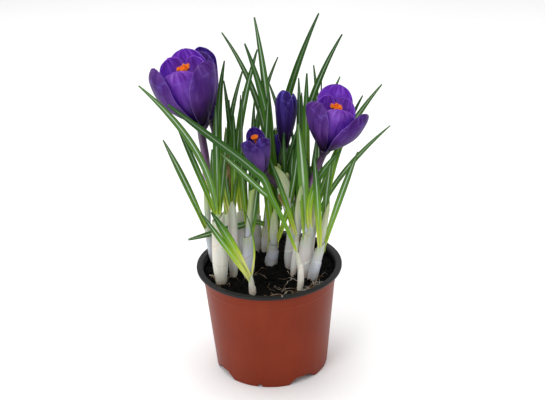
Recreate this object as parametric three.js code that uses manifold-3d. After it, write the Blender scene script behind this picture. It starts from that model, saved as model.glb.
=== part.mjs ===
// Potted crocus: a 9 cm plastic pot of peat with seventeen shoots of a large violet crocus.
// Millimetres, +Z up, -Y is the front. The origin is the middle of the pot's foot, on the
// surface that the pot stands on.

import * as THREE from 'three';
import { mergeVertices } from 'three/addons/utils/BufferGeometryUtils.js';
import Module from 'manifold-3d';

const wasm = await Module();
wasm.setup();

// ---------------------------------------------------------------- driving dimensions

const GAP = 0.3;                      // clearance between pieces that touch on the real plant

const POT = {
  rimTop: 68.5, rimRadius: 45, rimThickness: 1.6, mouthRadius: 41.5,
  neckRadius: 41.6, ledgeHeight: 58, ledgeStep: 0.3,
  footRadius: 35.3, wall: 1, floor: 1.2,
  discRadius: 25, channelRadius: 28, channelHeight: 4.6,
  feet: 4, footTurn: -13.3, recessSpan: 27, recessSlope: 9, recessHeight: 4.1,
  notchWidth: 3, notchHeight: 1.8, drainRadius: 2, drainSpread: 12, sides: 32,
};

const SOIL = { level: 64.6, sides: 28, rings: [0, 9, 18, 27, 37], shootDepth: 7 };
// Mounds on the soil: x, y, height, radius.
const MOUNDS = [[-20, -24, 2.2, 7], [4, -6, 1.8, 7], [30, -22, 1, 6], [-30, 2, 1.2, 6], [12, 14, 1, 8]];

const SHEATH = { wall: 0.7, pocket: 7, sides: 8, coreSides: 6 };
const BLADE = { thickness: 0.65, steps: 6, longSteps: 9, footShare: 0.42, tipWidth: 0.5, twist: 30 };
const PETAL = {
  thickness: 0.8, places: [0, 0.25, 0.5, 0.72, 0.9, 1], openFacets: 4, closedFacets: 3,
  clawShare: 0.2, widestAt: 0.64, bluntness: 2.6, outerStart: 1.05, innerStart: 0.75,
};
const STIGMA = {
  radius: 0.6, seat: 2, lobes: 3, lobeLength: 3.6, lobeWidth: 5, lobeHeight: 2.6, lobeDepth: 1.3,
};
const STAMEN = {
  count: 3, ring: 1.75, ringHeight: 1.2, filament: 8, filamentRadius: 0.35,
  anther: 10, antherRadius: 0.8, lean: 8,
};
const TUBE = { sides: 6, seat: 5 };   // seat: how deep a flower tube stands in its shoot

const COLOURS = {
  pot: 0x8a4030, soil: 0x14110f, sheath: 0xc9c6bb, leaf: 0x4a7a2c,
  petal: 0x55309a, stigma: 0xe06a0a, stamen: 0xe0a828,
};

// ---------------------------------------------------------------- the plants
//
// foot: where the shoot leaves the soil (x, y). mouth: where its white sheath opens. radius:
// of the sheath at its widest and at its mouth. cut: how far the mouth is cut aslant, and the
// direction of its high side (0 is the front, 90 the right). bend: how far the middle of the
// sheath is pushed sideways (x, y). core: the pale inner sheath that stands above the mouth, with
// its top and radius. Each leaf, and each papery bract at a flower's foot, is
//   tip x, y, z, arch, sway, width, facing
// Arch is how far the leaf bulges up from the straight line between mouth and tip, sway how far it
// bulges sideways, and facing the direction that its upper side looks to, at its foot. A routed
// leaf is one that has flopped or kinked, and follows points of its own.

const SHOOTS = {
  1: { foot: [-34.5, 13.5], mouth: [-37, 13, 87], radius: [2.6, 2.5], cut: [1, 0],
    core: { top: [-36.3, 12, 126], radius: 2 },
    leaves: [[-60, 0, 152, 1, -2, 4, 20]] },
  2: { foot: [-29.5, -16.5], mouth: [-29.5, -14, 107], radius: [4.2, 3.6], cut: [2, 90],
    leaves: [[-69, -24, 194, 19, -20, 4.6, 10], [-50, -20, 169, 2, 6, 3.8, 10],
      [-27, -25, 181, 2, 0, 4.6, 10]] },
  3: { foot: [-22, -8], mouth: [-21, -7, 107], radius: [3.1, 2.7], cut: [5, 0],
    leaves: [[-3, 11, 202, 2, -8, 4, 20], [-24, 0, 135, 3, -3, 3, -40], [-18, -5, 128, 2, 2, 2.8, 50]] },
  4: { foot: [-13, -8], mouth: [-12, -7, 91], radius: [3.3, 3], cut: [1, 90],
    core: { top: [-8.5, -6, 121], radius: 1.9 },
    leaves: [[-12, -1, 181, 1, -5, 3.4, 30], [-3, 3, 171, 2, -1, 3, -30],
      [-10, -8, 128, 2, -6, 3, -50], [-5, -8, 122, -2, 6, 3, 60]] },
  5: { foot: [-10.5, -31], mouth: [-11.2, -31, 75], radius: [2.6, 2.2], cut: [2, 45],
    leaves: [[-38, -38, 122, 0, -2, 3.4, 0], [-32, -38, 122, 2, 0, 5, 10], [-13, -28, 117, 4, 6, 2.6, -60]] },
  6: { foot: [-7.5, 27], mouth: [-6.8, 27, 88], radius: [2.6, 2.4], cut: [1, 0],
    leaves: [[9, 24, 193, 15, 1, 4, 10], [-6, 32, 163, 0, -3, 3.4, 0], [-3, 26, 128, 2, 3, 4, 30]] },
  7: { foot: [-2, 24], mouth: [-1.3, 24, 81], radius: [2.4, 2.3], cut: [1, 0],
    core: { top: [4.5, 20, 122], radius: 1.7 },
    leaves: [[-23, 10, 213, 26, -6, 4, 0], [34, 34, 216, 12, -8, 4.6, -10]],
    routed: [{ width: 4.2, facing: 20,
      route: [[-1.3, 24, 83], [-8, 20, 87], [-16, 12.5, 88.5], [-25, 8, 88.5], [-34, 5, 87.5],
        [-49, -2, 87]] }] },
  8: { foot: [1, 5], mouth: [3, 5, 80], radius: [3.6, 3.3], cut: [1, 0],
    core: { top: [9, 5, 131], radius: 2.3 },
    leaves: [[-10, 0, 209, 16, -4, 5, 10], [-4, 8, 222, 11, -3, 5, 0], [2, -4, 140, 6, -8, 3.4, 20],
      [20, 2, 158, 6, 4, 3.6, 0], [1, -2, 117, 3, -6, 3, -40], [9, 3, 104, 3, 6, 2.6, 50]],
    routed: [{ width: 4.4, facing: 0,
      route: [[3, 4, 83], [5, 0, 104], [3, -8, 114.5], [-4, -13, 124], [-15, -15, 137], [-26, -14, 148]] }] },
  9: { foot: [12.5, 2], mouth: [15, 1.5, 93], radius: [3.5, 3.1], cut: [2, 90],
    core: { top: [12, -0.5, 112], radius: 2 },
    leaves: [[21, 20, 181, 3, 4, 3.8, 0], [20, 1, 127, 3, 3, 4, 10], [19, 4, 151, 6, 6, 4, -20],
      [20, -5, 145, 2, 6, 3.2, 40], [11, -8, 157, 4, 5, 3.4, 20]],
    bracts: [[4, -4, 135, 3, 0, 6, -10], [13, -1.5, 132.5, 3, 0, 6, 20]] },
  10: { foot: [17.5, -28.5], mouth: [16.5, -27, 88], radius: [2, 1.9], cut: [1, 0], bend: [3, 0],
    leaves: [],
    routed: [{ width: 5, facing: 10,
      route: [[16.5, -27, 89], [10, -30, 110], [3.5, -31, 129], [-0.5, -32, 140.5],
        [-5, -32, 144.5], [-12, -33, 151], [-30, -36, 167], [-52, -40, 188]] }] },
  11: { foot: [21.5, -10], mouth: [24, -10, 94], radius: [4.7, 4.4], cut: [5, 60],
    core: { top: [26, -8, 121], radius: 2.5 },
    leaves: [[19, -18, 166, 6, 2, 4.6, 0], [25, -2, 191, 0, -2, 4.6, 0], [42, -32, 155, 9, 12, 3.8, 0],
      [30, -4, 153, 0, 0, 3.8, 20]] },
  12: { foot: [25.5, -16.5], mouth: [31, -15, 86], radius: [3, 2.8], cut: [2, 60],
    core: { top: [35.8, -14, 112], radius: 1.4 },
    leaves: [[53, -18, 148, 1, -3, 4.4, 0], [38, -16, 144, 2, -1, 4, 0], [27, -34, 154, 4, 0, 4, 0],
      [58, 8, 173, 11, -6, 3.6, -20]] },
  13: { foot: [14.4, -10], mouth: [17.5, -8.5, 90], radius: [1.9, 1.8], cut: [1, 0],
    leaves: [[22, 5, 177, 2, 3, 3.2, 10]] },
  14: { foot: [24, 12], mouth: [27.4, 14, 84], radius: [2.7, 2.5], cut: [1, 0],
    leaves: [[30, 22, 188, 2, 8, 4, 10], [35, 28, 180, 2, 4, 3, 30], [46, 26, 179, 12, -5, 3.6, 0],
      [71, 24, 174, 14, -3, 4, -10], [75, 12, 152, 17, 20, 3.8, 0]] },
  15: { foot: [-24, 14], mouth: [-24, 13, 96], radius: [2.8, 2.6], cut: [1, 0],
    core: { top: [-26, 14, 124], radius: 1.9 },
    leaves: [[-22, 4, 198, 2, 10, 4.2, 20], [-11, 18, 190, 12, -2, 3.2, -10]] },
  16: { foot: [-17, 18], mouth: [-16.6, 18, 95], radius: [2.5, 2.4], cut: [1, 0],
    leaves: [[-23, 7, 185, 3, 1, 3.8, 10], [-14, 24, 170, 3, 0, 3.4, 30]] },
  17: { foot: [15, 24], mouth: [15.2, 24, 81], radius: [2.5, 2.4], cut: [1, 0],
    leaves: [[46, 9, 210, 19, -2, 4.2, 0], [3, 30, 176, 11, 1, 3.8, 0], [22, 30, 168, 2, 3, 3.6, 20]] },
};

// Each flower stands in a shoot. throat: where its tube opens into the cup. top: the middle of the
// cup's opening. tube: its radius. style: its length, in an open flower, and stigma the size of its
// head. Each petal is
//   turn, length, width, tilt at the foot, tilt at the belly, tilt at the tip
// The turn is 0 at the front and 90 on the right, and tilts are measured from the flower's axis.

const FLOWERS = {
  left: { shoot: 1, throat: [-36.7, -6, 164], top: [-47, -10, 200], tube: 1.9,
    style: 36, stigma: 0.9, stamens: true,
    petals: [[301, 51, 30, 40, -2, -66], [47, 46, 29, 37, 12, -50], [168, 45.5, 26, 34, 8, -14],
      [354, 45, 26, 33, 0, -44], [142, 41, 20, 32, 6, -16], [214, 44, 22, 34, 2, -20]] },
  leftRear: { shoot: 15, throat: [-32.5, 21, 157], top: [-39, 22, 197], tube: 1.7,
    petals: [[15, 48, 18, 22, 1, -56], [155, 46.5, 17, 21, 1, -56], [270, 46, 18, 22, 2, -56],
      [90, 42, 12, 14, 0, -16], [210, 41, 12, 17, 0, -16]] },
  small: { shoot: 9, throat: [-2.3, -14, 137], top: [-6.2, -18, 160], tube: 1.5, style: 23, stigma: 0.6,
    petals: [[328, 28, 15, 24, 2, -64], [34, 27, 16, 24, 2, -64], [181, 29.5, 12, 28, -6, -50],
      [2, 25.5, 12, 22, 2, -30], [112, 24, 9, 24, -6, -24], [242, 24, 9, 24, -6, -24]] },
  bud: { shoot: 8, throat: [11.5, 6, 143], top: [13.8, 7, 176], tube: 1.5,
    petals: [[340, 38, 12, 15, 1, -40], [90, 36.5, 12, 15, 1, -40], [220, 36, 12, 15, 1, -40],
      [35, 33, 8, 12, -2, -18], [290, 33, 8, 12, -2, -18]] },
  rearBud: { shoot: 7, throat: [8, 19, 127], top: [7.5, 19, 148], tube: 1.3,
    petals: [[0, 22, 8, 18, 0, -30], [120, 22, 8, 18, 0, -30], [240, 22, 8, 18, 0, -30]] },
  right: { shoot: 11, throat: [34.5, -10, 147], top: [41, -14, 177], tube: 1.9,
    style: 27, stigma: 0.8, stamens: true,
    petals: [[314, 39, 23, 39, 6, -60], [46, 38, 34, 48, 12, -60], [175, 40, 23, 36, 4, -10],
      [8, 37, 21, 34, 4, -30], [138, 34, 19, 34, 8, -20], [211, 33.5, 16, 32, 4, -20]] },
};

// ---------------------------------------------------------------- vectors and solids

const vec = (p) => new THREE.Vector3(p[0], p[1], p[2]);
const radians = THREE.MathUtils.degToRad;
const lerp = THREE.MathUtils.lerp;
const smooth = THREE.MathUtils.smoothstep;

// A level direction: 0 is the front (-Y), 90 the right (+X).
function heading(degrees) {
  const a = radians(degrees);
  return new THREE.Vector3(Math.sin(a), -Math.cos(a), 0);
}

// The part of a direction that is square to another, at unit length.
function squareTo(direction, axis) {
  const part = direction.clone().addScaledVector(axis, -direction.dot(axis));
  return part.normalize();
}

// A closed solid for the boolean operations, from points and faces that may share places.
function solidOf(geometry) {
  const bare = geometry.clone();
  bare.deleteAttribute('normal');
  bare.deleteAttribute('uv');
  const welded = mergeVertices(bare, 1e-4);
  const corners = [];
  for (let i = 0; i < welded.index.count; i += 3) {
    const [a, b, c] = [0, 1, 2].map((k) => welded.index.getX(i + k));
    if (a !== b && b !== c && c !== a) corners.push(a, b, c);
  }
  return new wasm.Manifold(new wasm.Mesh({
    numProp: 3,
    vertProperties: new Float32Array(welded.attributes.position.array),
    triVerts: new Uint32Array(corners),
  }));
}

function geometryFrom(points, faces) {
  const geometry = new THREE.BufferGeometry().setFromPoints(points);
  geometry.setIndex(faces);
  return geometry;
}

function geometryOf(solid) {
  const mesh = solid.getMesh();
  const geometry = new THREE.BufferGeometry();
  geometry.setAttribute('position', new THREE.BufferAttribute(mesh.vertProperties, 3));
  geometry.setIndex(new THREE.BufferAttribute(mesh.triVerts, 1));
  geometry.computeVertexNormals();
  return geometry;
}

const joined = (solids) => solids.reduce((whole, solid) => whole.add(solid));

// The biggest body of a solid, without the loose scraps that a cut leaves.
function mainBody(solid) {
  const bodies = solid.decompose();
  return bodies.reduce((a, b) => (a.volume() > b.volume() ? a : b));
}

// A round solid along a curve. The profile lists [place along the curve, radius], starts and ends
// on the axis, and may turn back down inside to leave a pocket. A slanted mouth lifts the points
// near the curve's end by cut[0], on the side of cut[1].
function roundSolid(curve, profile, sides, cut = [0, 0]) {
  const points = [];
  const faces = [];
  const high = heading(cut[1]);
  for (const [place, radius] of profile) {
    const centre = curve.getPoint(Math.min(place, 1));
    const along = curve.getTangent(Math.min(place, 1));
    const across = squareTo(new THREE.Vector3(1, 0, 0), along);
    const third = along.clone().cross(across);
    const lift = cut[0] * smooth(place, 0.9, 1);
    for (let k = 0; k < sides; k += 1) {
      const angle = (k / sides) * Math.PI * 2;
      const out = across.clone().multiplyScalar(Math.cos(angle));
      out.addScaledVector(third, Math.sin(angle));
      const rise = radius > 0 ? lift * out.dot(high) : 0;
      points.push(centre.clone().addScaledVector(out, radius).addScaledVector(along, rise));
    }
  }
  for (let i = 0; i + 1 < profile.length; i += 1) {
    for (let k = 0; k < sides; k += 1) {
      const next = (k + 1) % sides;
      const [a, b] = [i * sides + k, i * sides + next];
      faces.push(a, b, b + sides, a, b + sides, a + sides);
    }
  }
  return solidOf(geometryFrom(points, faces));
}

// A thin slab between two grids of points, [along][across], split alike on both faces. Across,
// along and the side of the upper grid make a right-handed set.
function slab(upper, lower) {
  const rows = upper.length;
  const columns = upper[0].length;
  const points = [...upper.flat(), ...lower.flat()];
  const at = (face, i, j) => face * rows * columns + i * columns + j;
  const faces = [];
  const quad = (a, b, c, d) => faces.push(a, b, c, a, c, d);
  for (let i = 0; i + 1 < rows; i += 1) {
    for (let j = 0; j + 1 < columns; j += 1) {
      quad(at(0, i, j), at(0, i, j + 1), at(0, i + 1, j + 1), at(0, i + 1, j));
      const [a, b, c, d] = [at(1, i, j), at(1, i, j + 1), at(1, i + 1, j + 1), at(1, i + 1, j)];
      faces.push(a, c, b, a, d, c);
    }
    const last = columns - 1;
    quad(at(1, i, 0), at(0, i, 0), at(0, i + 1, 0), at(1, i + 1, 0));
    quad(at(0, i, last), at(1, i, last), at(1, i + 1, last), at(0, i + 1, last));
  }
  for (let j = 0; j + 1 < columns; j += 1) {
    const end = rows - 1;
    quad(at(1, 0, j), at(1, 0, j + 1), at(0, 0, j + 1), at(0, 0, j));
    quad(at(0, end, j), at(0, end, j + 1), at(1, end, j + 1), at(1, end, j));
  }
  return solidOf(geometryFrom(points, faces));
}

// ---------------------------------------------------------------- pot and soil

function lathe(outline, sides) {
  const points = outline.map(([radius, height]) => new THREE.Vector2(radius, height));
  return new THREE.LatheGeometry(points, sides).rotateX(Math.PI / 2);
}

const wallRadius = (height) => lerp(POT.footRadius, POT.neckRadius, height / POT.rimTop);

function potOutline() {
  const { rimTop, rimRadius, rimThickness, mouthRadius, ledgeHeight, ledgeStep, wall, floor } = POT;
  const { discRadius, channelRadius, channelHeight, footRadius } = POT;
  const underRim = rimTop - rimThickness;
  const bevel = 0.3;
  const inside = (height) => wallRadius(height) - wall;
  return [
    [0, 0], [discRadius, 0], [channelRadius, channelHeight], [footRadius - wall, channelHeight],
    [footRadius - wall, 0], [footRadius, 0],
    [wallRadius(ledgeHeight), ledgeHeight], [wallRadius(ledgeHeight) + ledgeStep, ledgeHeight + ledgeStep],
    [wallRadius(underRim), underRim], [rimRadius, underRim], [rimRadius, rimTop - bevel],
    [rimRadius - bevel, rimTop], [mouthRadius, rimTop], [inside(underRim), underRim],
    [inside(channelHeight), channelHeight + floor], [channelRadius + floor / 2, channelHeight + floor],
    [discRadius + floor / 2, floor], [0, floor],
  ];
}

// The raised stretch of the pot's lower edge between two feet, to be cut away.
function recess(turn) {
  const { recessSpan, recessSlope, recessHeight, footRadius } = POT;
  const corners = [
    [-recessSpan / 2, -1], [-recessSpan / 2 + recessSlope, recessHeight], [0, recessHeight],
    [recessSpan / 2 - recessSlope, recessHeight], [recessSpan / 2, -1],
  ];
  const row = (radius, height) => corners.map(([angle, top]) => {
    const point = heading(turn + angle).multiplyScalar(radius);
    return point.setZ(height === undefined ? top : height);
  });
  const [inner, outer] = [footRadius - 3, footRadius + 2];
  return slab([row(outer), row(inner)], [row(outer, -2), row(inner, -2)]);
}

function notch(turn) {
  const { notchWidth, notchHeight, footRadius } = POT;
  const box = new THREE.BoxGeometry(notchWidth, 4, 2 * notchHeight);
  box.translate(0, -footRadius, 0).rotateZ(radians(turn));
  return solidOf(box);
}

function drain(turn) {
  const hole = new THREE.CylinderGeometry(POT.drainRadius, POT.drainRadius, 6, 8);
  hole.rotateX(Math.PI / 2);
  const place = heading(turn).multiplyScalar((POT.channelRadius + POT.footRadius) / 2);
  return solidOf(hole.translate(place.x, place.y, POT.channelHeight));
}

function makePot() {
  const cuts = [];
  for (let k = 0; k < POT.feet; k += 1) {
    const foot = POT.footTurn + (360 * k) / POT.feet;
    const between = foot + 180 / POT.feet;
    cuts.push(notch(foot), recess(between));
    cuts.push(drain(between - POT.drainSpread), drain(between + POT.drainSpread));
  }
  return solidOf(lathe(potOutline(), POT.sides)).subtract(joined(cuts));
}

// Height of the lumpy soil: fine waves that cross each other, and a few mounds.
function soilHeight(x, y) {
  const waves = 0.5 * Math.sin(x / 3.1 + 1) * Math.cos(y / 3.7) + 0.4 * Math.sin((x - y) / 2.3);
  let height = SOIL.level + waves;
  for (const [mx, my, rise, radius] of MOUNDS) {
    height += rise * Math.exp(-((x - mx) ** 2 + (y - my) ** 2) / radius ** 2);
  }
  return height;
}

function makeSoil(holes) {
  const { discRadius, channelRadius, channelHeight, floor, wall } = POT;
  const edge = (height) => wallRadius(height) - wall - GAP;
  const low = floor + GAP;
  const top = SOIL.level;
  const bottom = [[0, low], [discRadius, low], [channelRadius, channelHeight + low],
    [edge(channelHeight + low) - 0.2, channelHeight + low], [edge(top) - 0.2, top - 1]];
  const surface = SOIL.rings.map((radius) => [radius, top]).reverse();
  const geometry = lathe([...bottom, ...surface], SOIL.sides);
  const position = geometry.attributes.position;
  for (let i = 0; i < position.count; i += 1) {
    if (position.getZ(i) === top) {
      position.setZ(i, soilHeight(position.getX(i), position.getY(i)));
    }
  }
  return solidOf(geometry).subtract(joined(holes));
}

// ---------------------------------------------------------------- shoots

// The line of a sheath, from its foot in the soil to its mouth.
function sheathLine(shoot, depth = SOIL.shootDepth) {
  const mouth = vec(shoot.mouth);
  const ground = new THREE.Vector3(shoot.foot[0], shoot.foot[1], SOIL.level);
  const rise = mouth.clone().sub(ground);
  const start = ground.clone().addScaledVector(rise, -depth / rise.z);
  const [bendX, bendY] = shoot.bend ?? [0, 0];
  const middle = start.clone().lerp(mouth, 0.5).add(new THREE.Vector3(bendX, bendY, 0));
  return new THREE.QuadraticBezierCurve3(start, middle, mouth);
}

function makeSheath(shoot) {
  const line = sheathLine(shoot);
  const [belly, mouth] = shoot.radius;
  const pocket = 1 - SHEATH.pocket / line.getLength();
  const inside = mouth - SHEATH.wall;
  const profile = [[0, 0], [0, 0.85 * belly], [0.4, belly], [0.75, lerp(belly, mouth, 0.4)], [1, mouth],
    [1, inside], [pocket, inside], [pocket, 0]];
  return roundSolid(line, profile, SHEATH.sides, shoot.cut);
}

// The hole that a sheath stands in.
function sheathHole(shoot) {
  const line = sheathLine(shoot, SOIL.shootDepth + GAP);
  const radius = shoot.radius[0] + GAP;
  const profile = [[0, 0], [0, 0.85 * radius], [0.2, radius], [0.8, radius], [0.8, 0]];
  return roundSolid(line, profile, SHEATH.sides);
}

// The line of the gathered leaf bases in a sheath's mouth, drawn out into the pale inner sheath
// where the shoot has one.
function coreLine(shoot) {
  const mouth = vec(shoot.mouth);
  const along = sheathLine(shoot).getTangent(1);
  const above = (distance) => mouth.clone().addScaledVector(along, distance);
  const end = shoot.core ? vec(shoot.core.top) : above(3 + shoot.cut[0] / 2);
  return new THREE.CubicBezierCurve3(above(GAP - SHEATH.pocket), above(0), above(shoot.core ? 7 : 1), end);
}

function makeCore(shoot) {
  const inside = shoot.radius[1] - SHEATH.wall - 1.3 * GAP;
  const tip = shoot.core ? shoot.core.radius : 0.5 * inside;
  const neck = shoot.core ? 0.3 : 0.85;
  const profile = [[0, 0], [0, inside], [neck, inside], [0.5 + neck / 2, tip], [1, tip], [1, 0]];
  return roundSolid(coreLine(shoot), profile, SHEATH.coreSides);
}

// A leaf blade along a curve, narrow at its foot and drawn out to a point. It twists a little on
// its way up, one leaf this way and the next that way.
function makeBlade(curve, width, facing, steps = BLADE.steps) {
  const { thickness, footShare, tipWidth, twist } = BLADE;
  const upper = [];
  const lower = [];
  for (let i = 0; i <= steps; i += 1) {
    const t = i / steps;
    const place = curve.getPoint(t);
    const along = curve.getTangent(t);
    const normal = squareTo(heading(facing + twist * Math.sin(width + facing) * t), along);
    const across = along.clone().cross(normal);
    const taper = Math.sqrt(Math.max(0, 1 - smooth(t, 0.5, 1.05) ** 1.5));
    const full = Math.max(tipWidth, width * lerp(footShare, 1, smooth(t, 0, 0.6)) * taper);
    const row = (offset) => [-0.5, 0.5].map((side) => place.clone()
      .addScaledVector(across, side * full).addScaledVector(normal, offset));
    upper.push(row(thickness / 2));
    lower.push(row(-thickness / 2));
  }
  return slab(upper, lower);
}

// The arching line of a leaf from its foot to its tip.
function leafLine(foot, tip, arch, sway) {
  const chord = tip.clone().sub(foot).normalize();
  const bulge = squareTo(new THREE.Vector3(0, 0, 1), chord);
  const aside = chord.clone().cross(bulge);
  const middle = foot.clone().lerp(tip, 0.5).addScaledVector(bulge, arch).addScaledVector(aside, sway);
  return new THREE.QuadraticBezierCurve3(foot, middle, tip);
}

// Where a leaf starts: in the core, on the side that it leans to.
function leafFoot(shoot, tip) {
  const foot = vec(shoot.mouth);
  const lean = tip.clone().sub(foot).setZ(0).normalize();
  const above = 1 + shoot.cut[0] / 2;
  return foot.addScaledVector(lean, 0.3 * shoot.radius[1]).setZ(foot.z + above);
}

function makeLeaves(shoot) {
  const solids = [makeCore(shoot)];
  for (const [x, y, z, arch, sway, width, facing] of shoot.leaves) {
    const tip = new THREE.Vector3(x, y, z);
    solids.push(makeBlade(leafLine(leafFoot(shoot, tip), tip, arch, sway), width, facing));
  }
  for (const [x, y, z, arch, sway, width, facing] of shoot.bracts ?? []) {
    const tip = new THREE.Vector3(x, y, z);
    const foot = vec(shoot.core.top).lerp(vec(shoot.mouth), 0.3);
    solids.push(makeBlade(leafLine(foot, tip, arch, sway), width, facing));
  }
  for (const { width, facing, route } of shoot.routed ?? []) {
    const curve = new THREE.CatmullRomCurve3(route.map(vec), false, 'centripetal');
    solids.push(makeBlade(curve, width, facing, BLADE.longSteps));
  }
  return joined(solids);
}

// ---------------------------------------------------------------- flowers

// The line of a flower's tube, from its seat in the shoot to the throat.
function tubeLine(flower, depth = TUBE.seat) {
  const shoot = SHOOTS[flower.shoot];
  const seat = vec(shoot.core.top);
  const below = coreLine(shoot).getTangent(1);
  const throat = vec(flower.throat);
  const axis = vec(flower.top).sub(throat).normalize();
  const rise = 0.4 * seat.distanceTo(throat);
  return new THREE.CubicBezierCurve3(
    seat.clone().addScaledVector(below, -depth), seat.clone().addScaledVector(below, rise),
    throat.clone().addScaledVector(axis, -rise), throat,
  );
}

// The flower tube, slim where it stands in the shoot and flared at the throat.
function makeTube(flower, grow = 0) {
  const slim = 0.7 * flower.tube + grow;
  const full = flower.tube + grow;
  const profile = [[0, 0], [0, slim], [0.25, slim], [0.4, full], [0.8, full], [0.92, 1.25 * full],
    [1, 1.9 * full], [1, 0]];
  return roundSolid(tubeLine(flower, TUBE.seat + grow), profile, TUBE.sides);
}

// The directions of a flower: up its axis, to its front and to its right.
function flowerFrame(flower) {
  const up = vec(flower.top).sub(vec(flower.throat)).normalize();
  const front = squareTo(new THREE.Vector3(0, -1, 0), up);
  return { up, front, right: up.clone().cross(front) };
}

// Half the width of a petal along its length, as a share of the greatest: a narrow claw, widest
// past the middle, and a round tip.
function petalOutline(t) {
  const { clawShare, widestAt, bluntness } = PETAL;
  if (t < widestAt) return lerp(clawShare, 1, Math.sin((Math.PI / 2) * (t / widestAt)));
  return Math.max(0.02, 1 - ((t - widestAt) / (1 - widestAt)) ** bluntness) ** (1 / bluntness);
}

// The tilt of a petal's middle line: spread at its foot, near upright at the belly, drawn in at
// the tip.
function petalTilt(t, [foot, belly, tip]) {
  const bellyAt = 0.78;
  if (t < bellyAt) return lerp(foot, belly, smooth(t, 0.25, bellyAt));
  return lerp(belly, tip, (t - bellyAt) / (1 - bellyAt));
}

// A petal, cupped across its width. The first three of a flower are the outer ones.
function makePetal(flower, [turn, length, width, ...tilts], index) {
  const { up, front, right } = flowerFrame(flower);
  const { thickness, places, outerStart, innerStart } = PETAL;
  const across = flower.style ? PETAL.openFacets : PETAL.closedFacets;
  const out = front.clone().multiplyScalar(Math.cos(radians(turn)));
  out.addScaledVector(right, Math.sin(radians(turn)));
  const side = up.clone().cross(out);
  const outer = [];
  const inner = [];
  let radius = flower.tube * (index < 3 ? outerStart : innerStart);
  let height = -1;
  let before = 0;
  for (const t of places) {
    const lean = radians(petalTilt((t + before) / 2, tilts));
    radius += length * (t - before) * Math.sin(lean);
    height += length * (t - before) * Math.cos(lean);
    before = t;
    const middle = vec(flower.throat).addScaledVector(out, radius).addScaledVector(up, height);
    const normal = out.clone().multiplyScalar(Math.cos(lean)).addScaledVector(up, -Math.sin(lean));
    const half = (width / 2) * petalOutline(t);
    const bend = Math.max(radius, 0.5 * width, 2);
    const row = (offset) => Array.from({ length: across + 1 }, (_, j) => {
      const angle = ((2 * j) / across - 1) * (half / bend);
      return middle.clone().addScaledVector(side, (bend + offset) * Math.sin(angle))
        .addScaledVector(normal, (bend + offset) * Math.cos(angle) - bend);
    });
    outer.push(row(thickness / 2));
    inner.push(row(-thickness / 2));
  }
  return slab(outer, inner);
}

// A point in a flower: out from its axis in the direction of a turn, and up from its throat.
function inFlower(flower, turn, radius, height) {
  const { up, front, right } = flowerFrame(flower);
  return vec(flower.throat).addScaledVector(up, height)
    .addScaledVector(front, radius * Math.cos(radians(turn)))
    .addScaledVector(right, radius * Math.sin(radians(turn)));
}

// The style on the flower's axis, from its seat in the throat.
function makeStyle(flower, grow = 0) {
  const low = inFlower(flower, 0, 0, -STIGMA.seat - grow);
  const high = inFlower(flower, 0, 0, flower.style);
  const radius = STIGMA.radius + grow;
  const profile = [[0, 0], [0, radius], [0.9, radius], [1, 1.6 * radius], [1, 0]];
  return roundSolid(new THREE.LineCurve3(low, high), profile, 6);
}

// The stigma: frilled fans that spread from the top of the style.
function makeStigma(flower) {
  const { lobes, lobeLength, lobeWidth, lobeHeight, lobeDepth } = STIGMA;
  const solids = [makeStyle(flower)];
  const size = flower.stigma;
  for (let k = 0; k < lobes; k += 1) {
    const turn = 30 + (360 * k) / lobes;
    const row = (share, offset) => [-1, 0, 1].map((side) => {
      const frill = Math.abs(side) * share;
      const reach = 0.4 + share * lobeLength;
      const spread = THREE.MathUtils.radToDeg((side * share * 0.5 * lobeWidth) / reach);
      return inFlower(flower, turn + spread, size * reach,
        flower.style - 1 + size * (share * lobeHeight + frill + offset));
    });
    const shares = [0, 0.5, 1];
    const [lower, upper] = [0, lobeDepth].map((offset) => shares.map((share) => row(share, offset)));
    solids.push(slab(lower, upper));
  }
  return joined(solids);
}

// The stamens: anthers on filaments that stand on one ring around the style.
function makeStamens(flower) {
  const { count, ring, ringHeight, filament, filamentRadius, anther, antherRadius, lean } = STAMEN;
  const axis = new THREE.LineCurve3(
    inFlower(flower, 0, 0, GAP), inFlower(flower, 0, 0, GAP + ringHeight),
  );
  const solids = [roundSolid(axis, [[0, 0], [0, ring], [1, ring], [1, 0]], TUBE.sides)];
  const length = filament + anther;
  const share = filament / length;
  const profile = [[0, 0], [0, filamentRadius], [share, filamentRadius],
    [share + 0.05, antherRadius], [1, 0.6 * antherRadius], [1, 0]];
  const footRadius = (ring + STIGMA.radius + GAP) / 2;
  for (let k = 0; k < count; k += 1) {
    const turn = 90 + (360 * k) / count;
    const foot = inFlower(flower, turn, footRadius, ringHeight);
    const tip = inFlower(flower, turn, ring + length * Math.sin(radians(lean)), ringHeight + length);
    solids.push(roundSolid(new THREE.LineCurve3(foot, tip), profile, 5));
  }
  return joined(solids).subtract(makeStyle(flower, GAP));
}

function makeFlower(flower) {
  const petals = flower.petals.map((petal, k) => makePetal(flower, petal, k));
  const whole = joined([makeTube(flower), ...petals]);
  return flower.style ? whole.subtract(makeStyle(flower, GAP)) : whole;
}

// ---------------------------------------------------------------- assembly

const crocus = new THREE.Group();

function addNode(name, solid, colour, roughness) {
  const material = new THREE.MeshStandardMaterial({ color: colour, roughness, metalness: 0 });
  const mesh = new THREE.Mesh(geometryOf(solid), material);
  mesh.name = name;
  crocus.add(mesh);
}

const shoots = Object.entries(SHOOTS);
const flowers = Object.entries(FLOWERS);

addNode('pot', makePot(), COLOURS.pot, 0.45);
addNode('soil', makeSoil(shoots.map(([, shoot]) => sheathHole(shoot))), COLOURS.soil, 1);

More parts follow.
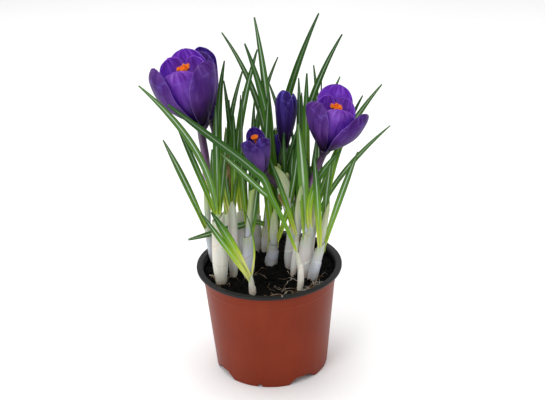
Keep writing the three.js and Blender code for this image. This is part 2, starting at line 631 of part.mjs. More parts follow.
for (const [number, shoot] of shoots) {
  addNode(`sheath_${number}`, makeSheath(shoot), COLOURS.sheath, 0.55);
  let leaves = makeLeaves(shoot);
  for (const [, flower] of flowers.filter(([, one]) => one.shoot === Number(number))) {
    leaves = leaves.subtract(makeTube(flower, GAP));
  }
  addNode(`leaves_${number}`, mainBody(leaves), COLOURS.leaf, 0.45);
}

for (const [name, flower] of flowers) {
  addNode(`flower_${name}`, makeFlower(flower), COLOURS.petal, 0.5);
  if (flower.style) addNode(`stigma_${name}`, makeStigma(flower), COLOURS.stigma, 0.6);
  if (flower.stamens) addNode(`stamens_${name}`, makeStamens(flower), COLOURS.stamen, 0.7);
}

export default crocus;
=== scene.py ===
"""Potted crocus: a terracotta-coloured nursery pot of peat with a clump of violet crocuses.

The pot's foot stands on z = 0 and its axis is the z axis. +X is the right and -Y the front.
Plant sizes are listed in millimetres, and Blender works in metres.
"""

import math
import random

import bpy
from mathutils import Matrix, Vector, noise


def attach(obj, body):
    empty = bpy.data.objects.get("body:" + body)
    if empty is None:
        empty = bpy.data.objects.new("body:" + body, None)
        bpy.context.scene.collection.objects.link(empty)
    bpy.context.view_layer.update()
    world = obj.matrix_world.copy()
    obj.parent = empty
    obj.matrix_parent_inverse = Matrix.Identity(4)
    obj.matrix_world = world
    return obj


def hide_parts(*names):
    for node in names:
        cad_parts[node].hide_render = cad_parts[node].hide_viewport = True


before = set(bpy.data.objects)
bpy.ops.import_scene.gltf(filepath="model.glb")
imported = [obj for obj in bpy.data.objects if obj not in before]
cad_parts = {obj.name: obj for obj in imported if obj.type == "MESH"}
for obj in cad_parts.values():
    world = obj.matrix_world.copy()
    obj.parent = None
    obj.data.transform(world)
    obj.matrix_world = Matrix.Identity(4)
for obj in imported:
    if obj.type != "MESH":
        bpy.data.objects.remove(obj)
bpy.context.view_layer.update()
MM = 0.001
rng = random.Random(11)

# ---------------------------------------------------------------- sizes, in millimetres

POT_RIM_TOP = 68.5
POT_RIM_RADIUS = 44.99  # a hair inside the 45 mm rim of the solid pot
POT_RIM_THICKNESS = 1.6
POT_MOUTH_RADIUS = 41.5
POT_NECK_RADIUS = 41.6
POT_FOOT_RADIUS = 35.3
POT_LEDGE_HEIGHT = 58
POT_LEDGE_STEP = 0.3
POT_WALL = 1
POT_FLOOR = 1.2
POT_DISC_RADIUS = 25
POT_CHANNEL_RADIUS = 28
POT_CHANNEL_HEIGHT = 4.6
POT_ROUNDING = 0.45
FOOT_TURNS = [-13.3, 76.7, 166.7, 256.7]
RECESS_HEIGHT = POT_CHANNEL_HEIGHT - 0.1  # a recess as high as the channel would cut the pot apart
RECESS_WIDE = 36  # degrees round the pot, at its lower edge
RECESS_NARROW = 15.5
CUTTER_REACH = 8
NOTCH_SIZE = (3, CUTTER_REACH, 3.6)
DRAIN_RADIUS = 2
DRAIN_DEPTH = 6
DRAIN_TURNS = (-12, 12)

SOIL_LEVEL = 64.6
SHEATH_DEPTH = 7
# Mounds of soil: place (x, y), rise and radius.
MOUNDS = [(-20, -24, 2.2, 7), (4, -6, 1.8, 7), (30, -22, 1, 6), (-30, 2, 1.2, 6), (12, 14, 1, 8)]

CRUMB_COUNT = 340
CRUMB_REACH = 39.5

# Tufts of root threads: how many, and the ranges of their turns, distances, lengths and radii.
ROOT_TUFTS = [(22, (-8, 55), (30, 37.5), (10, 22), (0.08, 0.14)),
              (10, (-75, -45), (30, 37.5), (6, 12), (0.1, 0.18)),
              (18, (-180, 180), (12, 36), (5, 10), (0.07, 0.13))]
ROOT_REACH = 39
ROOT_OVER_RIM = [(0, -36, 65.5), (2.5, -37.2, 66.6), (5, -38.5, 67.6), (6, -40.5, 68.6),
                 (6.8, -42.6, 69.1), (7, -44, 68.8)]
ROOT_OVER_RIM_RADIUS = 0.28

SHEATH_WALL = 0.7
SHEATH_GAP = 0.3
SHEATH_POCKET = 7
SHEATH_THICKNESS = 0.5
SCALE_THICKNESS = 0.2
LEAF_THICKNESS = 0.34
BRACT_THICKNESS = 0.25
PETAL_THICKNESS = 0.4
STIGMA_THICKNESS = 0.42
LEAF_FOOT_SHARE = 0.72
LEAF_TIP_WIDTH = 0.5
LEAF_TWIST = 30
PETAL_WIDEST = 0.64
PETAL_BELLY = 0.78

# Each shoot: foot on the soil (x, y), mouth of its sheath, radius of the sheath at the belly and
# the mouth, cut of the mouth (height, direction of its high side), how bluish it is (cool), the
# pale inner sheath (top and radius), and its leaves (tip x, y, z, arch, sway, width, facing).
# Bracts give their foot too. Leaves that have flopped or kinked are routed along points of their
# own (width, share of it at the foot, facing, greening, points). A higher greening keeps the
# yellow of the foot further up the leaf.
SHOOTS = {
    1: dict(foot=(-34.5, 13.5), mouth=(-37, 13, 87), radius=(2.6, 2.5), cut=(1, 0), cool=0.8,
            core=((-36.3, 12, 126), 2),
            leaves=[(-60, 0, 152, 1, -2, 4, 20)]),
    2: dict(foot=(-29.5, -16.5), mouth=(-29.5, -14, 107), radius=(4.2, 3.6), cut=(2, 90), cool=0.05,
            greening=0.8,
            leaves=[(-69, -24, 194, 19, -20, 4, 10), (-50, -20, 169, 2, 6, 3.4, 10),
                    (-27, -25, 181, 2, 0, 4.6, 10)]),
    3: dict(foot=(-22, -8), mouth=(-21, -7, 107), radius=(3.1, 2.7), cut=(5, 0), cool=0.3,
            leaves=[(-3, 11, 202, 2, -8, 4, 20), (-24, 0, 135, 3, -3, 3, -40),
                    (-18, -5, 128, 2, 2, 2.8, 50)]),
    4: dict(foot=(-13, -8), mouth=(-12, -7, 91), radius=(3.3, 3), cut=(1, 90), cool=0.9,
            core=((-8.5, -6, 121), 1.9),
            leaves=[(-12, -1, 181, 1, -5, 3.4, 30), (-3, 3, 171, 2, -1, 3, -30),
                    (-10, -8, 128, 2, -6, 3, -50), (-5, -8, 122, -2, 6, 3, 60)]),
    5: dict(foot=(-10.5, -31), mouth=(-11.2, -31, 74), radius=(2.1, 1.7), cut=(1.6, 45), cool=0.1,
            greening=1.9,
            leaves=[(-38, -38, 122, 0, -2, 3.4, 0), (-32, -38, 122, 2, 0, 5, 10),
                    (-13, -28, 117, 4, 6, 2.6, -60)]),
    6: dict(foot=(-7.5, 27), mouth=(-6.8, 27, 88), radius=(2.6, 2.4), cut=(1, 0),
            leaves=[(9, 24, 193, 15, 1, 4, 10), (-6, 32, 163, 0, -3, 3.4, 0),
                    (-3, 26, 128, 2, 3, 4, 30)]),
    7: dict(foot=(-2, 24), mouth=(-1.3, 24, 81), radius=(2.4, 2.3), cut=(1, 0),
            core=((4.5, 20, 122), 1.7),
            leaves=[(-23, 10, 213, 26, -6, 4, 0), (34, 34, 216, 12, -8, 4.6, -10)],
            routed=[(4.2, 0.72, 20, 0.6, [(-1.3, 24, 83), (-8, 20, 87), (-16, 12.5, 88.5),
                                          (-25, 8, 88.5), (-34, 5, 87.5), (-49, -2, 87)])]),
    8: dict(foot=(1, 5), mouth=(3, 5, 80), radius=(3.6, 3.3), cut=(1, 0), cool=0.9,
            core=((9, 5, 131), 2.3), bracts=[((3, 1.6, 79), (4.6, -3, 107), 1, 0, 4.6, 0)],
            leaves=[(-10, 0, 209, 16, -4, 5, 10), (-4, 8, 221.9, 11, -3, 5, 0),
                    (2, -4, 140, 6, -8, 3.4, 20), (20, 2, 158, 6, 4, 3.6, 0),
                    (1, -2, 117, 3, -6, 3, -40), (9, 3, 104, 3, 6, 2.6, 50)],
            routed=[(4.2, 0.72, 0, 1.7, [(3, 4, 83), (5, 0, 104), (3, -8, 114.5), (-4, -13, 124),
                                         (-15, -15, 137), (-26, -14, 148)])]),
    9: dict(foot=(12.5, 2), mouth=(15, 1.5, 93), radius=(3.5, 3.1), cut=(2, 90), cool=0.6,
            core=((12, -0.5, 112), 2),
            leaves=[(21, 20, 181, 3, 4, 3.8, 0), (20, 1, 127, 3, 3, 4, 10),
                    (19, 4, 151, 6, 6, 4, -20), (20, -5, 145, 2, 6, 3.2, 40),
                    (11, -8, 157, 4, 5, 3.4, 20)],
            bracts=[((13, -5, 105), (4.4, -10, 137.5), 3, -2, 9, -5),
                    ((13, -4, 108), (12, -8, 132), 3, 1, 7, 15),
                    ((17.4, -9, 90), (20.2, -13.5, 126), 1, -1, 5, 0)]),
    10: dict(foot=(16.2, -28.5), mouth=(16.5, -27, 88), radius=(1.75, 1.6), cut=(1, 0), cool=0.1,
             bend=(4.4, 0), leaves=[],
             routed=[(4.7, 0.4, 10, 0.48, [(16.5, -27, 89), (9.5, -30, 110), (2.2, -31, 128),
                                           (-2, -32, 139.5), (-6.5, -32, 144), (-13, -33, 151),
                                           (-30, -36, 167), (-52, -40, 188)])]),
    11: dict(foot=(21.5, -10), mouth=(24, -10, 94), radius=(4.7, 4.4), cut=(5, 60), cool=0.35,
             greening=1.4, core=((26, -8, 121), 2.5),
             bracts=[((26.5, -13.5, 92), (29, -17, 118.5), 1, 0, 5, 10)],
             leaves=[(19, -18, 166, 6, 2, 6.2, 0), (25, -2, 191, 0, -2, 4.6, 0),
                     (42, -32, 155, 9, 12, 3.8, 0), (30, -4, 153, 0, 0, 3.8, 20)]),
    12: dict(foot=(25.5, -16.5), mouth=(31, -15, 86), radius=(3, 2.8), cut=(2, 60), cool=0.8,
             greening=1.3, core=((35.8, -14, 112), 1.4),
             bracts=[((31.5, -16.5, 86), (36.6, -17, 116.3), 1, 1, 3.8, 20)],
             leaves=[(53, -18, 148, 1, -3, 3.8, 0), (38, -16, 144, 2, -1, 4, 0),
                     (27, -34, 154, 4, 0, 4, 0), (58, 8, 173, 11, -6, 3.6, -20)]),
    13: dict(foot=(14.4, -10), mouth=(17.5, -8.5, 90), radius=(1.9, 1.8), cut=(1, 0),
             leaves=[(22, 5, 177, 2, 3, 3.2, 10)]),
    14: dict(foot=(24, 12), mouth=(27.4, 14, 84), radius=(2.7, 2.5), cut=(1, 0),
             leaves=[(30, 22, 188, 2, 8, 4, 10), (35, 28, 180, 2, 4, 3, 30),
                     (46, 26, 179, 12, -5, 3.6, 0), (71, 24, 174, 14, -3, 4, -10),
                     (75, 12, 152, 17, 20, 3.2, 0)]),
    15: dict(foot=(-24, 14), mouth=(-24, 13, 96), radius=(2.8, 2.6), cut=(1, 0),
             core=((-26, 14, 124), 1.9),
             leaves=[(-22, 4, 198, 2, 10, 4.2, 20), (-11, 18, 190, 12, -2, 3.2, -10)]),
    16: dict(foot=(-17, 18), mouth=(-16.6, 18, 95), radius=(2.5, 2.4), cut=(1, 0),
             leaves=[(-23, 7, 185, 3, 1, 3.8, 10), (-14, 24, 170, 3, 0, 3.4, 30)]),
    17: dict(foot=(15, 24), mouth=(15.2, 24, 81), radius=(2.5, 2.4), cut=(1, 0),
             leaves=[(46, 9, 210, 19, -2, 4.2, 0), (3, 30, 176, 11, 1, 3.8, 0),
                     (22, 30, 168, 2, 3, 3.6, 20)]),
}

# Slender leaves that fill the middle of the clump, written like the leaves of a shoot.
FILLING = {
    2: [(-22.6, 0, 158, 2, 2, 3.6, 10), (-31, -12, 150, 2, -2, 4, -20)],
    3: [(-18.3, 2, 167, 2, 2, 3.8, 15), (-15.3, 6, 152, 2, 3, 3.6, -20)],
    4: [(-8.5, 2, 152, 2, 2, 3.6, 10), (-12, 8, 146, 2, -2, 3.6, 30), (-4, -4, 132, 2, 3, 3.4, -10)],
    15: [(-20.8, 16, 170, 3, 2, 3.8, 10), (-28, 12, 150, 2, 1, 3.6, -20)],
    16: [(-14.3, 16, 166, 3, 2, 3.8, 20), (-9, 20, 150, 3, 2, 3.6, -10)],
    6: [(-5.2, 24, 138, 2, 1, 3.8, 0)],
    7: [(6.2, 20, 150, 2, 2, 3.8, 10), (12, 26, 146, 3, 3, 3.6, -20)],
    8: [(3, 3, 178, 5, -6, 4.8, 0), (10, 8, 146, 2, 2, 3.6, 20), (19.3, -12, 163.3, -9, 0, 3.6, 0)],
    9: [(16, 6, 154, 2, 3, 3.8, 10), (16, -8, 146, 2, 2, 3.6, -10)],
    13: [(20, -6, 146, 2, 2, 3.4, 10), (14, 0, 132, 2, -2, 3.2, -20), (2.1, -22, 147.3, 2, 1, 3, 0)],
    11: [(24, -6, 140, 2, 2, 4, 10), (33, -8, 140, 3, 3, 4, -10)],
    17: [(24, 22, 154, 2, 2, 3.8, 10), (12, 20, 146, 2, -2, 3.6, -20)],
    14: [(31, 14, 138, 2, 1, 3.8, 20), (27, 10, 128, 2, -2, 3.6, -20)],
}

# Withered blades: width and the points they follow.
WITHERED = [(2.6, [(7, -12, 120), (8.6, -12.6, 116.5), (11, -12.4, 112.4), (13, -11, 106)]),
            (2.8, [(-21, -7, 107), (-22.5, -3, 130), (-23.4, 0, 149.5), (-23, 0, 159)])]

# Each flower: its shoot, the throat where its tube opens into the cup, the middle of the cup's
# opening, the tube's radius, the length of the style and the size of the stigma, and its petals
# (turn, length, width, tilt at the foot, at the belly and at the tip), the outer three first.
# A young flower is darker. Slim and stout are shares of the tube's radius at its foot and above,
# sweep leans the tube's top, and aside moves the stigma. Hug sets how flat a petal's cup is, and
# a higher bluntness gives it a squarer tip.
FLOWERS = {
    "left": dict(shoot=1, sweep=1.4, stout=1.25, aside=1.8, slim=1.3, throat=(-36.7, -6, 164),
                 top=(-47, -10, 200), tube=1.9, style=34.4, stigma=0.9, stamens=True,
                 petals=[(297, 51, 29, 40, -2, -66), (52, 46, 28, 37, 12, -50),
                         (168, 45.5, 26, 34, 8, -14), (356, 45, 28, 34, 0, -44),
                         (142, 41, 20, 32, 6, -16), (214, 44, 22, 34, 2, -20)]),
    "leftRear": dict(shoot=15, young=0.6, throat=(-32.5, 21, 157), top=(-39, 22, 197), tube=1.7,
                     petals=[(15, 48, 18, 22, 1, -56), (155, 46.5, 17, 21, 1, -56),
                             (270, 46, 18, 22, 2, -56), (90, 42, 12, 14, 0, -16),
                             (210, 41, 12, 17, 0, -16)]),
    "small": dict(shoot=9, young=0.7, sweep=0.8, bluntness=1.9, hug=0.38, stout=1.3,
                  throat=(-2.3, -14, 137), top=(-6.2, -18, 160), tube=1.5, style=21.5, stigma=0.64,
                  petals=[(322, 27.5, 18, 28, 2, -74), (36, 27, 17.5, 25, 3, -74),
                          (181, 29.5, 12, 28, -6, -50), (2, 22.5, 10, 21, 1, -30),
                          (112, 24, 9, 24, -6, -24), (242, 24, 9, 24, -6, -24)]),
    "bud": dict(shoot=8, young=1, throat=(11.5, 6, 143), top=(13.8, 7, 176), tube=1.5,
                petals=[(340, 38, 12, 15, 1, -40), (78, 35.5, 12, 14, 0, -48),
                        (220, 36, 12, 15, 1, -40), (35, 33, 8, 12, -2, -18),
                        (290, 33, 8, 12, -2, -18)]),
    "rearBud": dict(shoot=7, young=1, throat=(8, 19, 127), top=(7.5, 19, 148), tube=1.3,
                    petals=[(0, 22, 8, 18, 0, -30), (120, 22, 8, 18, 0, -30),
                            (240, 22, 8, 18, 0, -30)]),
    "right": dict(shoot=11, aside=0.6, slim=1.3, throat=(34.5, -10, 147), top=(41, -14, 177),
                  tube=1.9, style=27, stigma=0.8, stamens=True,
                  petals=[(307, 39, 22, 38, 6, -60), (54, 39, 31, 48, 12, -56),
                          (175, 40, 23, 36, 4, -10), (6, 37, 25, 35, 4, -34),
                          (138, 34, 19, 34, 8, -20), (211, 33.5, 16, 32, 4, -20)]),
}

# ---------------------------------------------------------------- lines and directions


def lerp(a, b, share):
    return a + (b - a) * share


def smooth(x, low, high):
    share = min(1, max(0, (x - low) / (high - low)))
    return share * share * (3 - 2 * share)


def heading(degrees):
    """A level direction: 0 is the front, 90 the right."""
    angle = math.radians(degrees)
    return Vector((math.sin(angle), -math.cos(angle), 0))


def square_to(direction, axis):
    return (direction - axis * direction.dot(axis)).normalized()


def quadratic(a, b, c):
    a, b, c = Vector(a), Vector(b), Vector(c)
    return lambda t: a.lerp(b, t).lerp(b.lerp(c, t), t)


def cubic(a, b, c, d):
    first, second = quadratic(a, b, c), quadratic(b, c, d)
    return lambda t: first(t).lerp(second(t), t)


def through(points):
    """A smooth line through points (a centripetal Catmull-Rom curve)."""
    points = [Vector(p) for p in points]
    points = [2 * points[0] - points[1], *points, 2 * points[-1] - points[-2]]
    last = len(points) - 4

    def line(t):
        at = t * (last + 1)
        index = min(max(int(at), 0), last)
        s = at - index
        before, start, end, after = points[index:index + 4]
        k0, k1, k2 = (math.sqrt((b - a).length)
                      for a, b in ((before, start), (start, end), (end, after)))
        leaving = ((start - before) / k0 - (end - before) / (k0 + k1) + (end - start) / k1) * k1
        arriving = ((end - start) / k1 - (after - start) / (k1 + k2) + (after - end) / k2) * k1
        rise = end - start
        return start + leaving * s + (3 * rise - 2 * leaving - arriving) * s * s \
            + (leaving + arriving - 2 * rise) * s ** 3

    return line


def heading_of(line, t):
    """The direction of a line at a place along it."""
    low, high = max(0, t - 0.004), min(1, t + 0.004)
    return (line(high) - line(low)).normalized()


def beyond(line, t):
    """A point of a line that goes straight on before its start."""
    if t >= 0:
        return line(t)
    return line(0) + heading_of(line, 0) * (line(1) - line(0)).length * t


# ---------------------------------------------------------------- modelling helpers


def deselect_all():
    bpy.ops.object.select_all(action="DESELECT")


def choose(*pieces):
    deselect_all()
    for piece in pieces:
        piece.select_set(True)
    bpy.context.view_layer.objects.active = pieces[0]


def finish_modifier(piece, kind, **settings):
    choose(piece)
    modifier = piece.modifiers.new(kind.title(), kind)
    for name, value in settings.items():
        setattr(modifier, name, value)
    bpy.ops.object.modifier_apply(modifier=modifier.name)


def thicken(piece, thickness, offset=0):
    finish_modifier(piece, "SOLIDIFY", thickness=thickness * MM, offset=offset, use_rim=True)


def refine(piece):
    finish_modifier(piece, "SUBSURF", levels=1, render_levels=1)


def clean(piece, merge=0.01):
    """Merges the doubles of a mesh and turns its faces outwards."""
    choose(piece)
    bpy.ops.object.mode_set(mode="EDIT")
    bpy.ops.mesh.select_all(action="SELECT")
    bpy.ops.mesh.remove_doubles(threshold=merge * MM)
    bpy.ops.mesh.normals_make_consistent(inside=False)
    bpy.ops.object.mode_set(mode="OBJECT")
    bpy.ops.object.shade_smooth()


def shaped_grid(name, columns, rows, place):
    """A grid laid over a surface: place gives the point at (across, along), both from 0 to 1."""
    deselect_all()
    bpy.ops.mesh.primitive_grid_add(x_subdivisions=columns, y_subdivisions=rows, size=1)
    piece = bpy.context.object
    piece.name = name
    for vertex in piece.data.vertices:
        vertex.co = place(vertex.co.x + 0.5, vertex.co.y + 0.5) * MM
    bpy.ops.object.shade_smooth()
    return piece


def stretch_uv(piece, across, along):
    """Makes a piece's UV map count in its own lengths, so that patterns keep their scale."""
    for corner in piece.data.uv_layers.active.data:
        corner.uv = (corner.uv[0] * across, corner.uv[1] * along)


def note(piece, name, values):
    """Gives a piece's surface a number of its own, for small differences in colour and for painted light
    and shade.
    """
    attribute = piece.data.attributes.new(name, "FLOAT", "POINT")
    if isinstance(values, (int, float)):
        values = [values] * len(piece.data.vertices)
    attribute.data.foreach_set("value", values)


def tube(name, line, radius, around, rows, shape=None):
    """A round tube along a line. radius gives its size at a place along it, and shape may push a
    point of its wall: it gets the way out from the line and the place along it, and gives a rise
    along the line and a swell."""
    def place(across, along):
        axis = heading_of(line, along)
        side = square_to(Vector((1, 0, 0)), axis)
        out = Matrix.Rotation(across * math.tau, 3, axis) @ side
        rise, swell = shape(out, along) if shape else (0, 1)
        return line(along) + out * radius(along) * swell + axis * rise

    piece = shaped_grid(name, around, rows, place)
    clean(piece)
    return piece


def close_ends(piece):
    """Fills the open ends of a tube."""
    choose(piece)
    bpy.ops.object.mode_set(mode="EDIT")
    bpy.ops.mesh.select_all(action="DESELECT")
    bpy.ops.mesh.select_non_manifold()
    bpy.ops.mesh.edge_face_add()
    bpy.ops.object.mode_set(mode="OBJECT")


def closed_tube(name, line, radius, around, rows, shape=None, merge=0.01):
    piece = tube(name, line, radius, around, rows, shape)
    close_ends(piece)
    clean(piece, merge)
    return piece


def join(name, pieces):
    choose(*pieces)
    if len(pieces) > 1:
        bpy.ops.object.join()
    whole = bpy.context.object
    whole.name = name
    whole.data.name = name
    return whole


def paint(piece, *materials):
    piece.data.materials.clear()
    for material in materials:
        piece.data.materials.append(material)


def settle(piece, slot, *nodes):
    """Makes a finished piece part of the object, in the place of CAD nodes."""
    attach(piece, "root")
    if nodes:
        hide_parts(*nodes)


# ---------------------------------------------------------------- materials


def srgb(red, green, blue):
    """A colour from its 0 to 255 values, as the linear light that shaders use."""
    def channel(value):
        share = value / 255
        return share / 12.92 if share <= 0.04045 else ((share + 0.055) / 1.055) ** 2.4
    return (channel(red), channel(green), channel(blue), 1)


def add(tree, kind, inputs=None, **settings):
    """A shader node. An input is a plain value or the socket that feeds it."""
    node = tree.nodes.new("ShaderNode" + kind)
    for name, value in settings.items():
        setattr(node, name, value)
    for name, value in (inputs or {}).items():
        if isinstance(value, bpy.types.NodeSocket):
            tree.links.new(value, node.inputs[name])
        else:
            node.inputs[name].default_value = value
    return node


def ramp(tree, factor, *stops):
    node = add(tree, "ValToRGB", {"Fac": factor})
    elements = node.color_ramp.elements
    while len(elements) < len(stops):
        elements.new(1)
    for element, (place, colour) in zip(elements, stops):
        element.position = place
        element.color = colour
    return node.outputs["Color"]


def shades(tree, factor, *stops):
    """A ramp whose stops are a place and the 0 to 255 values of a colour."""
    return ramp(tree, factor, *((place, srgb(*colour)) for place, *colour in stops))


def level(tree, value, low, high, start=0.0, end=1.0):
    """A value moved from one range to another, and held inside it."""
    node = add(tree, "MapRange", {"Value": value, "From Min": low, "From Max": high,
                                  "To Min": start, "To Max": end})
    return node.outputs["Result"]


def mix(tree, factor, first, second, blend="MIX"):
    node = add(tree, "Mix", data_type="RGBA", blend_type=blend)
    for index, value in ((0, factor), (6, first), (7, second)):
        if isinstance(value, bpy.types.NodeSocket):
            tree.links.new(value, node.inputs[index])
        else:
            node.inputs[index].default_value = value
    return node.outputs[2]


def calc(tree, operation, first, second):
    return add(tree, "Math", {0: first, 1: second}, operation=operation).outputs[0]


def times(tree, first, second):
    return calc(tree, "MULTIPLY", first, second)


def off_centre(tree, value):
    """How far a value is from a half, to either side."""
    return calc(tree, "ABSOLUTE", calc(tree, "SUBTRACT", value, 0.5), 0)


def noted(tree, name):
    """A number that note gave to the surface."""
    return add(tree, "Attribute", attribute_name=name).outputs["Fac"]


def axis_of(tree, vector, axis):
    return add(tree, "SeparateXYZ", {0: vector}).outputs[axis]


def noise_value(tree, vector, scale, detail=2.0, rough=0.5):
    node = add(tree, "TexNoise", {"Vector": vector, "Scale": scale, "Detail": detail,
                                  "Roughness": rough})
    return node.outputs["Fac"]


def stretched(tree, vector, scale):
    return add(tree, "Mapping", {"Vector": vector, "Scale": scale}).outputs["Vector"]


def new_material(name, **surface):
    """A material and its tree and shader. Surface values are set on the shader's own sockets."""
    material = bpy.data.materials.new(name)
    material.use_nodes = True
    tree = material.node_tree
    shader = tree.nodes["Principled BSDF"]
    for socket, value in surface.items():
        shader.inputs[socket.replace("_", " ")].default_value = value
    return material, tree, shader


def dress(tree, shader, colour, roughness=None, height=None, depth=0.0002, strength=0.5):
    """Links a colour, and where given a roughness and a bump pattern, to a shader."""
    tree.links.new(colour, shader.inputs["Base Color"])
    if roughness is not None:
        tree.links.new(roughness, shader.inputs["Roughness"])
    if height is not None:
        bump = add(tree, "Bump", {"Height": height, "Distance": depth, "Strength": strength})
        tree.links.new(bump.outputs["Normal"], shader.inputs["Normal"])


def coordinates(tree, kind="Object"):
    return add(tree, "TexCoord").outputs[kind]


def pot_plastic():
    material, tree, shader = new_material("terracotta_plastic", Specular_IOR_Level=0.12)
    place = coordinates(tree)
    cloud = noise_value(tree, place, 35, 3)
    streaks = noise_value(tree, stretched(tree, place, (1, 1, 0.08)), 260, 2)
    colour = shades(tree, cloud, (0.3, 118, 42, 20), (0.7, 130, 49, 25))
    colour = mix(tree, level(tree, streaks, 0.35, 0.75, 0, 0.18), colour, srgb(106, 32, 18))
    dress(tree, shader, colour, level(tree, cloud, 0.3, 0.7, 0.36, 0.46), streaks, 0.00008, 0.35)
    return material


def rim_plastic():
    material, tree, shader = new_material("black_plastic", Specular_IOR_Level=0.3)
    place = coordinates(tree)
    cloud = noise_value(tree, place, 60, 3)
    colour = shades(tree, cloud, (0.3, 9, 9, 10), (0.7, 15, 15, 17))
    dress(tree, shader, colour, level(tree, cloud, 0.3, 0.7, 0.34, 0.5), cloud, 0.0001, 0.3)
    return material


def peat():
    material, tree, shader = new_material("moist_peat", Specular_IOR_Level=0.06)
    place = coordinates(tree)
    grains = noise_value(tree, place, 900, 6, 0.7)
    patches = noise_value(tree, place, 160, 3)
    colour = shades(tree, grains, (0.35, 4, 4, 4), (0.6, 12, 11, 10), (0.8, 40, 32, 26))
    colour = mix(tree, level(tree, patches, 0.45, 0.7, 0, 0.6), colour, srgb(13, 11, 10))
    dress(tree, shader, colour, level(tree, grains, 0.3, 0.8, 0.7, 0.95), grains, 0.0009, 0.9)
    return material


def root_fibre():
    material, tree, shader = new_material("root_fibre", Specular_IOR_Level=0.3, Roughness=0.7)
    place = coordinates(tree)
    patches = noise_value(tree, place, 220, 2)
    colour = shades(tree, patches, (0.36, 104, 74, 50), (0.5, 164, 142, 116), (0.6, 214, 206, 194))
    dress(tree, shader, colour, None, patches, 0.0001, 0.4)
    return material


def along_lines(tree, uv, count):
    """Fine lines that run the length of a leaf, petal or sheath and waver a little."""
    return noise_value(tree, stretched(tree, uv, (count, 1.3, 1)), 1, 2, 0.6)


def sheath_skin():
    """A white sheath: warm or bluish, greyish green towards its mouth, with a few tan creases."""
    material, tree, shader = new_material("white_sheath", Specular_IOR_Level=0.35,
                                          Subsurface_Weight=0.2, Subsurface_Scale=0.002)
    uv = coordinates(tree, "UV")
    place = coordinates(tree)
    lines = along_lines(tree, uv, 40)
    patches = noise_value(tree, place, 120, 3)
    cool = noted(tree, "tone")
    rise = axis_of(tree, uv, "Y")
    height = axis_of(tree, place, "Z")
    colour = shades(tree, lines, (0.25, 218, 203, 186), (0.5, 228, 215, 200), (0.75, 234, 224, 212))
    blue = times(tree, cool, level(tree, patches, 0.3, 0.6, 0.6, 1))
    colour = mix(tree, blue, colour, srgb(198, 202, 218))
    upper = level(tree, rise, 0.5, 0.9, 0, 0.5)
    colour = mix(tree, upper, colour, srgb(184, 190, 192))
    streak = times(tree, level(tree, rise, 0.68, 1, 0, 0.85), level(tree, lines, 0.4, 0.6, 0.3, 1))
    colour = mix(tree, streak, colour, srgb(154, 172, 114))
    crease = off_centre(tree, noise_value(tree, place, 55, 1))
    colour = mix(tree, level(tree, crease, 0, 0.012, 0.4, 0), colour, srgb(166, 132, 96))
    low = level(tree, height, 0.063, 0.071, 1, 0)
    stain = times(tree, low, level(tree, patches, 0.35, 0.6, 0.2, 0.9))
    colour = mix(tree, stain, colour, srgb(150, 126, 100))
    dress(tree, shader, colour, level(tree, patches, 0.3, 0.7, 0.34, 0.5), lines, 0.0001, 0.2)
    return material


def inner_skin():
    """The pale inner sheath: lilac grey below and green towards its top."""
    material, tree, shader = new_material("inner_sheath", Specular_IOR_Level=0.35,
                                          Subsurface_Weight=0.2, Subsurface_Scale=0.002)
    uv = coordinates(tree, "UV")
    lines = along_lines(tree, uv, 22)
    height = axis_of(tree, uv, "Y")
    colour = shades(tree, height, (0.0, 206, 204, 208), (0.4, 186, 188, 202), (0.7, 176, 190, 150),
                    (1.0, 148, 174, 92))
    colour = mix(tree, level(tree, lines, 0.45, 0.7, 0, 0.6), colour, srgb(136, 152, 110))
    dress(tree, shader, colour, level(tree, lines, 0.3, 0.7, 0.36, 0.5), lines, 0.00015, 0.5)
    return material


def papery_bract():
    material, tree, shader = new_material("papery_bract", Specular_IOR_Level=0.4,
                                          Subsurface_Weight=0.25, Subsurface_Scale=0.002)
    uv = coordinates(tree, "UV")
    lines = along_lines(tree, uv, 16)
    height = axis_of(tree, uv, "Y")
    colour = shades(tree, height, (0.0, 186, 188, 198), (0.35, 206, 208, 186), (0.75, 186, 196, 150),
                    (1.0, 160, 180, 112))
    colour = mix(tree, level(tree, lines, 0.42, 0.66, 0, 0.6), colour, srgb(146, 160, 112))
    dress(tree, shader, colour, level(tree, lines, 0.3, 0.7, 0.45, 0.6), lines, 0.0002, 0.6)
    return material


def withered_skin():
    material, tree, shader = new_material("withered_blade", Specular_IOR_Level=0.3, Roughness=0.7)
    uv = coordinates(tree, "UV")
    lines = along_lines(tree, uv, 12)
    patches = noise_value(tree, coordinates(tree), 150, 3)
    colour = shades(tree, patches, (0.35, 112, 84, 44), (0.6, 176, 158, 110))
    colour = mix(tree, level(tree, lines, 0.45, 0.7, 0, 0.6), colour, srgb(96, 66, 34))
    dress(tree, shader, colour, None, lines, 0.0002, 0.6)
    return material


